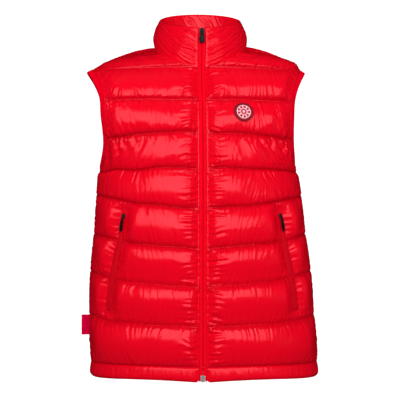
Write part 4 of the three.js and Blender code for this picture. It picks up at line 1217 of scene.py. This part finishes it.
def frontHardware():
    start, end = neckSeam(np.array(0.0)), collarRim(np.array(0.0))
    start, end = start * [0, 1, 1], end * [0, 1, 1]
    up = unit(end - start)
    out = np.array([0, -1.0, 0])
    out = unit(out - up * (out @ up))
    reach = zipLook["tapeInside"] + zipLook["thickness"] + seamGap + hardware["thick"] + hardware["axisOut"]
    hinge = mix(start, end, 0.97) - up * 5 + out * reach
    angle = float(turnAt(hinge[2]))
    zipHardware("zip", turned(hinge), spin(out, angle), spin(up, angle), 1.0, (11.5, 18.2, 3.0, -5.2),
                "zip_pull_body", "zip_slider", "zip_pull")
    box = outline(8.0, 12.4, 4.0, 0.0) + [0, -6.2]
    layers = [(2.6, -1.6), (2.2, -2.0), (0.9, -2.0), (0.25, -1.8), (0, -1.3), (0, 1.4), (0.3, 1.8), (1.2, 2.0)]
    foot = np.array([0, -cut["frontDepth"][0] - 0.4, cut["zFront"][0] + 13.0 - seamGap])
    grid = placed(slab(box, layers), foot, np.array([0, -1.0, 0]), np.array([0, 0, 1.0]))
    dress(tubeMesh("zip_foot_box", grid), greyMetal, "vest", ["zip_box"])


frontHardware()
print("front zip made")


# Pockets

welt = {"low": -6.2, "high": 6.2, "under": 0.35, "lift": 0.8, "rise": 2.2, "topShare": 0.55,
        "stitchedAt": (-6.0, 4.6)}
pocketPull = {"scale": 0.72, "grip": (6.6, 25.5, 2.4, -3.2)}


def pocketParts(side, mirrored):
    # a welt sewn down on the zip's side, its folded edge standing a little free towards the side seam
    flipX = mirrorX if mirrored else np.ones(3)
    line = np.linspace(pocket["bottomLine"], pocket["topLine"], 150)
    length = onLevels(np.zeros((len(line), 2)), line, -1)[1]
    shift = np.linspace(-9, 9, 37)
    across = pocketAcross(line)[:, None] + shift[None] / length[:, None]
    base = clothPoints(across, line, -1)[0]
    normal = gridNormals(base, False)
    t = np.linspace(0, 1, 16)
    outerShift = mix(welt["low"], welt["high"], t)
    outerLift = welt["lift"] + welt["rise"] * t ** 0.8 * 0.6
    turn = np.linspace(math.pi / 2, -math.pi / 2, 6)[1:-1]
    radius = (outerLift[-1] - welt["under"]) / 2
    roundShift = welt["high"] + radius * np.cos(turn)
    roundLift = welt["under"] + radius + radius * np.sin(turn)
    shiftLoop = np.concatenate([outerShift, roundShift, outerShift[::-1]])
    liftLoop = np.concatenate([outerLift, roundLift, np.full(16, welt["under"])]) + cut["wallHalf"]
    narrow = mix(welt["topShare"], 1, ease((pocket["topLine"] - line) / 1.3))
    pick = lambda values: np.stack([stack(*[np.interp(shiftLoop * narrow[i], shift, values[i, :, k])
                                            for k in range(3)]) for i in range(len(line))], axis=1)
    wave = 1 + 0.12 * softNoise((1, len(line)), (1, 12), 131 + mirrored)
    grid = pick(base) + unit(pick(normal)) * (liftLoop[:, None] * wave)[..., None]
    grid = turned(grid * flipX)
    dress(tubeMesh("pocket_welt_" + side, grid), shadedWeltCloth, "vest", ["pocket_zip_" + side])
    n = normal[:, normal.shape[1] // 2] * flipX
    for at in welt["stitchedAt"]:
        k = int(np.argmin(np.abs(outerShift - at)))
        sew(grid[k], n, 0.15)
    for end in (2, -3):
        bar = np.concatenate([grid[1:15, end], grid[1:15, end + (1 if end > 0 else -1)][::-1]])
        sew(bar, np.broadcast_to(n[end], bar.shape), 0.25)
    # the pull's place, as the part has it
    at = pocket["topLine"] - 0.1
    point = lambda where, off: turned(clothPoints(
        pocketAcross(np.array([where]))[:, None] + off / onLevels(np.zeros((1, 2)), np.array([where]), -1)[1],
        np.array([where]), -1)[0][0, 0] * flipX)
    up = unit(point(at, 0) - point(at - 0.35, 0))
    out = unit(np.cross(point(at, 4) - point(at, 0), up))
    out = -out if out[1] > 0 else out
    face = cut["wallHalf"] + 1.4 * seamGap
    reach = face + 1.3 + seamGap + (hardware["thick"] + hardware["axisOut"]) * pocketPull["scale"]
    zipHardware("pocket_" + side, point(at, 0) + out * reach, out, up, pocketPull["scale"], pocketPull["grip"],
                "pocket_pull_" + side + "_body", "pocket_slider_" + side, "pocket_pull_" + side)


pocketParts("right", True)
pocketParts("left", False)
print("pockets made")


# Badge and tab

def badgePiece():
    # a second-degree surface is fitted to the shell under the badge, which lies on it, clear of the cloth
    part = shells["vest_front_left"]
    rows, cols = part["shell"].shape[:2]
    v, u = np.meshgrid(np.linspace(-21, 21, 43), np.linspace(-21, 21, 43), indexing="ij")
    inside = np.hypot(u, v) < badge["radius"] + 1.5
    length = float(np.interp(badge["line"], part["line"], part["length"]))
    row = np.interp(badge["line"] + v / 59, part["line"], np.arange(rows))
    col = ((badge["across"] + u / length) ** (1 / 1.1)) * (cols - 1)
    i, j = row.astype(int), col.astype(int)
    fi, fj = (row - i)[..., None], (col - j)[..., None]
    g = part["shell"]
    points = mix(mix(g[i, j], g[i, j + 1], fj), mix(g[i + 1, j], g[i + 1, j + 1], fj), fi)[inside]
    middle = points.mean(axis=0)
    n = np.linalg.svd(points - middle)[2][2]
    n = n if n[1] < 0 else -n
    x = unit(np.array([1.0, 0, 0]) - n * n[0])
    z = np.cross(n, x)
    z = z if z[2] > 0 else -z
    a, b, h = (points - middle) @ x, (points - middle) @ z, (points - middle) @ n
    terms = lambda a, b: np.stack([1 + 0 * a, a, b, a * a, a * b, b * b], axis=-1)
    fit = np.linalg.lstsq(terms(a, b), h, rcond=None)[0]
    clear = np.percentile(h - terms(a, b) @ fit, 97)
    count = 300
    turn = np.linspace(0, 2 * math.pi, count, endpoint=False)
    t, r = badge["thickness"], badge["radius"]
    rim = [r - 2.2, r - 1.9, r - 1.3, r - 0.6, r - 0.1, r, r - 0.2, r - 0.8, r - 2.5]
    radius = np.concatenate([[0.2], np.linspace(1.2, r - 2.6, 22), rim, np.linspace(r - 4, 0.2, 5)])
    height = np.concatenate([np.full(23, t), [t - 0.25, t + 0.15, t + 0.75, t + 0.75, t + 0.25, t * 0.5,
                             0.1, -0.1, -0.1], np.full(5, -0.1)])
    onRim = np.concatenate([np.zeros(24), [0.5, 1, 1, 1, 1, 0.5, 0], np.zeros(7)])[:len(radius)]
    rib = 0.16 * np.cos(58 * turn)[:, None] * onRim[None]
    onFace = (radius < badge["faceRadius"]) & (height > 0.5)
    rings = np.where(onFace, 0.1 * np.cos(radius * 2 * math.pi / 2.2), 0)
    rr = radius[None] + rib * 0.6
    lift = (height + rings)[None] + rib
    pa, pb = rr * np.cos(turn)[:, None], rr * np.sin(turn)[:, None]
    hh = terms(pa, pb) @ fit + clear + lift
    grid = middle + pa[..., None] * x + pb[..., None] * z + hh[..., None] * n
    obj = tubeMesh("round_badge", grid)
    # the piece's own map: mm across and up from the middle
    layer = obj.data.uv_layers.new(name="badge")
    vertexUv = np.concatenate([np.stack([pa.ravel(), pb.ravel()], axis=-1), [[0, 0], [0, 0]]])
    corner = np.empty(len(obj.data.loops), np.int32)
    obj.data.loops.foreach_get("vertex_index", corner)
    layer.data.foreach_set("uv", vertexUv[corner].astype(np.float32).ravel())
    return dress(obj, wovenBadge, "vest", ["badge"])


badgePiece()


tab = {"width": 17.5, "thick": 1.7, "move": np.array([2.5, 0, 7.0])}


def tabPiece():
    # a folded ribbon: rounded at the fold, with a slight curl towards the front
    low, high = [np.array(c) * 1000 + tab["move"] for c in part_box("side_tab")]
    outer, top, bottom = low[0], high[2], low[2]
    inward = tab["width"] + 2.0
    s = np.linspace(0, 1, 30)
    radius = tab["thick"] / 2
    turn = np.linspace(math.pi / 2, 3 * math.pi / 2, 9)[1:-1]
    x = np.concatenate([mix(inward, radius, s), radius + radius * np.cos(turn), mix(radius, inward, s)])
    y = np.concatenate([np.full(30, radius), radius * np.sin(turn), np.full(30, -radius)])
    up = np.linspace(bottom, top, 46)
    selvedge = 0.75 + 0.25 * ease((up - bottom) / 1.2) * ease((top - up) / 1.2)
    curl = -0.010 * (inward - x) ** 2
    wave = 0.35 * np.sin(up * 0.16 + 1.0)
    middle = (low[1] + high[1]) / 2
    px = outer + x[:, None] + 0 * up[None]
    py = middle + y[:, None] * selvedge[None] + curl[:, None] + wave[None] * ((inward - x) / inward)[:, None]
    grid = stack(px, py, 0 * x[:, None] + up[None])
    return dress(tubeMesh("seam_tab", grid), wovenTab, "vest", ["side_tab"])


tabPiece()

# every stitch in one piece
middle, ahead, outward = [np.concatenate([row[k] for row in sewn]) for k in range(3)]
stitches = capsules("sewing_thread", middle, ahead, outward, thread["length"], thread["radius"])
dress(stitches, redThread, "vest")
print("badge, tab and sewing made:", len(middle), "stitches")


# Floor, light and camera

studio = {
    "floorZ": -1.36,  # the vest hangs at the height it is worn
    "bowlRadius": 6.0,
    "bowlCorner": 2.5,
    "bowlHeight": 6.0,
    "aim": (0, 0, -0.30),
    "ambient": 0.3,
}
# each lamp's place, size and power, and whether the cloth mirrors it
lamps = {
    "key_softbox": ((0.0, -1.9, 0.36), (2.7, 1.2), 19.0, True),
    "front_fill": ((0, -2.3, 0.45), (1.6, 1.2), 23.0, False),
    "left_fill": ((-2.2, -1.6, -0.1), (1.2, 1.6), 8.0, False),
    "right_fill": ((2.2, -1.6, -0.1), (1.2, 1.6), 8.0, False),
    "top_fill": ((0, -0.5, 1.9), (1.6, 1.2), 6.0, False),
    "back_softbox": ((0, 2.2, 0.36), (2.7, 1.2), 18.0, False),
}


def studioBowl():
    # a surface of revolution: a flat floor that curves up into a wall, so that no horizon shows from any side
    bend = np.linspace(0, math.pi / 2, 24)
    corner, radius = studio["bowlCorner"], studio["bowlRadius"]
    r = np.concatenate([[0.001, 1.5, 3.0], radius - corner + corner * np.sin(bend), [radius]])
    z = np.concatenate([[0, 0, 0], corner - corner * np.cos(bend), [studio["bowlHeight"]]]) + studio["floorZ"]
    a = np.linspace(0, 2 * math.pi, 97)[:-1]
    points = stack(r[:, None] * np.cos(a), r[:, None] * np.sin(a), z[:, None] + 0 * a)
    ids = np.arange(len(r) * 96).reshape(len(r), 96)
    right = np.roll(ids, -1, axis=1)
    quads = np.stack([ids[:-1], right[:-1], right[1:], ids[1:]], axis=-1).reshape(-1, 4)
    mesh = bpy.data.meshes.new("studio_bowl")
    mesh.from_pydata(points.reshape(-1, 3).tolist(), [], quads.tolist())
    mesh.polygons.foreach_set("use_smooth", np.ones(len(quads), bool))
    bowl = bpy.data.objects.new("studio_bowl", mesh)
    bpy.context.scene.collection.objects.link(bowl)
    material, _, shader = newMaterial("matt white paint")
    shader.inputs["Base Color"].default_value = (0.9, 0.9, 0.9, 1)
    shader.inputs["Roughness"].default_value = 1.0
    shader.inputs["Emission Color"].default_value = (1, 1, 1, 1)
    shader.inputs["Emission Strength"].default_value = 0.9
    mesh.materials.append(material)
    bowl.visible_glossy = False
    bowl.visible_diffuse = False
    bowl.visible_shadow = False
    return bowl


studioBowl()


def softbox(name, place, target, size, power, mirrored):
    # a lamp without a mirror image lights the cloth from behind diffusing paper
    light = bpy.data.lights.new(name, "AREA")
    light.shape = "RECTANGLE"
    light.size, light.size_y = size
    light.energy = power
    obj = bpy.data.objects.new(name, light)
    bpy.context.scene.collection.objects.link(obj)
    obj.location = place
    away = np.array(place, float) - np.array(target, float)
    yaw = math.atan2(away[0], -away[1])
    pitch = math.atan2(away[2], math.hypot(away[0], away[1]))
    obj.rotation_euler = (math.pi / 2 - pitch, 0, yaw)
    obj.visible_camera = False
    obj.visible_glossy = mirrored
    return obj


for name, (place, size, power, mirrored) in lamps.items():
    softbox(name, place, studio["aim"], size, power, mirrored)

world = bpy.data.worlds.new("studio")
world.use_nodes = True
background = next(n for n in world.node_tree.nodes if n.type == "BACKGROUND")
background.inputs["Color"].default_value = (1, 1, 1, 1)
background.inputs["Strength"].default_value = studio["ambient"]
bpy.context.scene.world = world
world.cycles_visibility.glossy = False
bpy.context.scene.view_settings.view_transform = "Standard"

view = {"distance": 2.5, "level": -0.289, "lens": 118.4, "sideways": -0.0054}
camera = bpy.data.cameras.new("camera")
camera.lens = view["lens"]
camera.sensor_width = 36
camera.dof.use_dof = False
cameraObject = bpy.data.objects.new("camera", camera)
bpy.context.scene.collection.objects.link(cameraObject)
cameraObject.location = (view["sideways"], -view["distance"], view["level"])
cameraObject.rotation_euler = (math.pi / 2, 0, 0)
camera.clip_start, camera.clip_end = 0.05, 60
bpy.context.scene.camera = cameraObject
print("studio made")
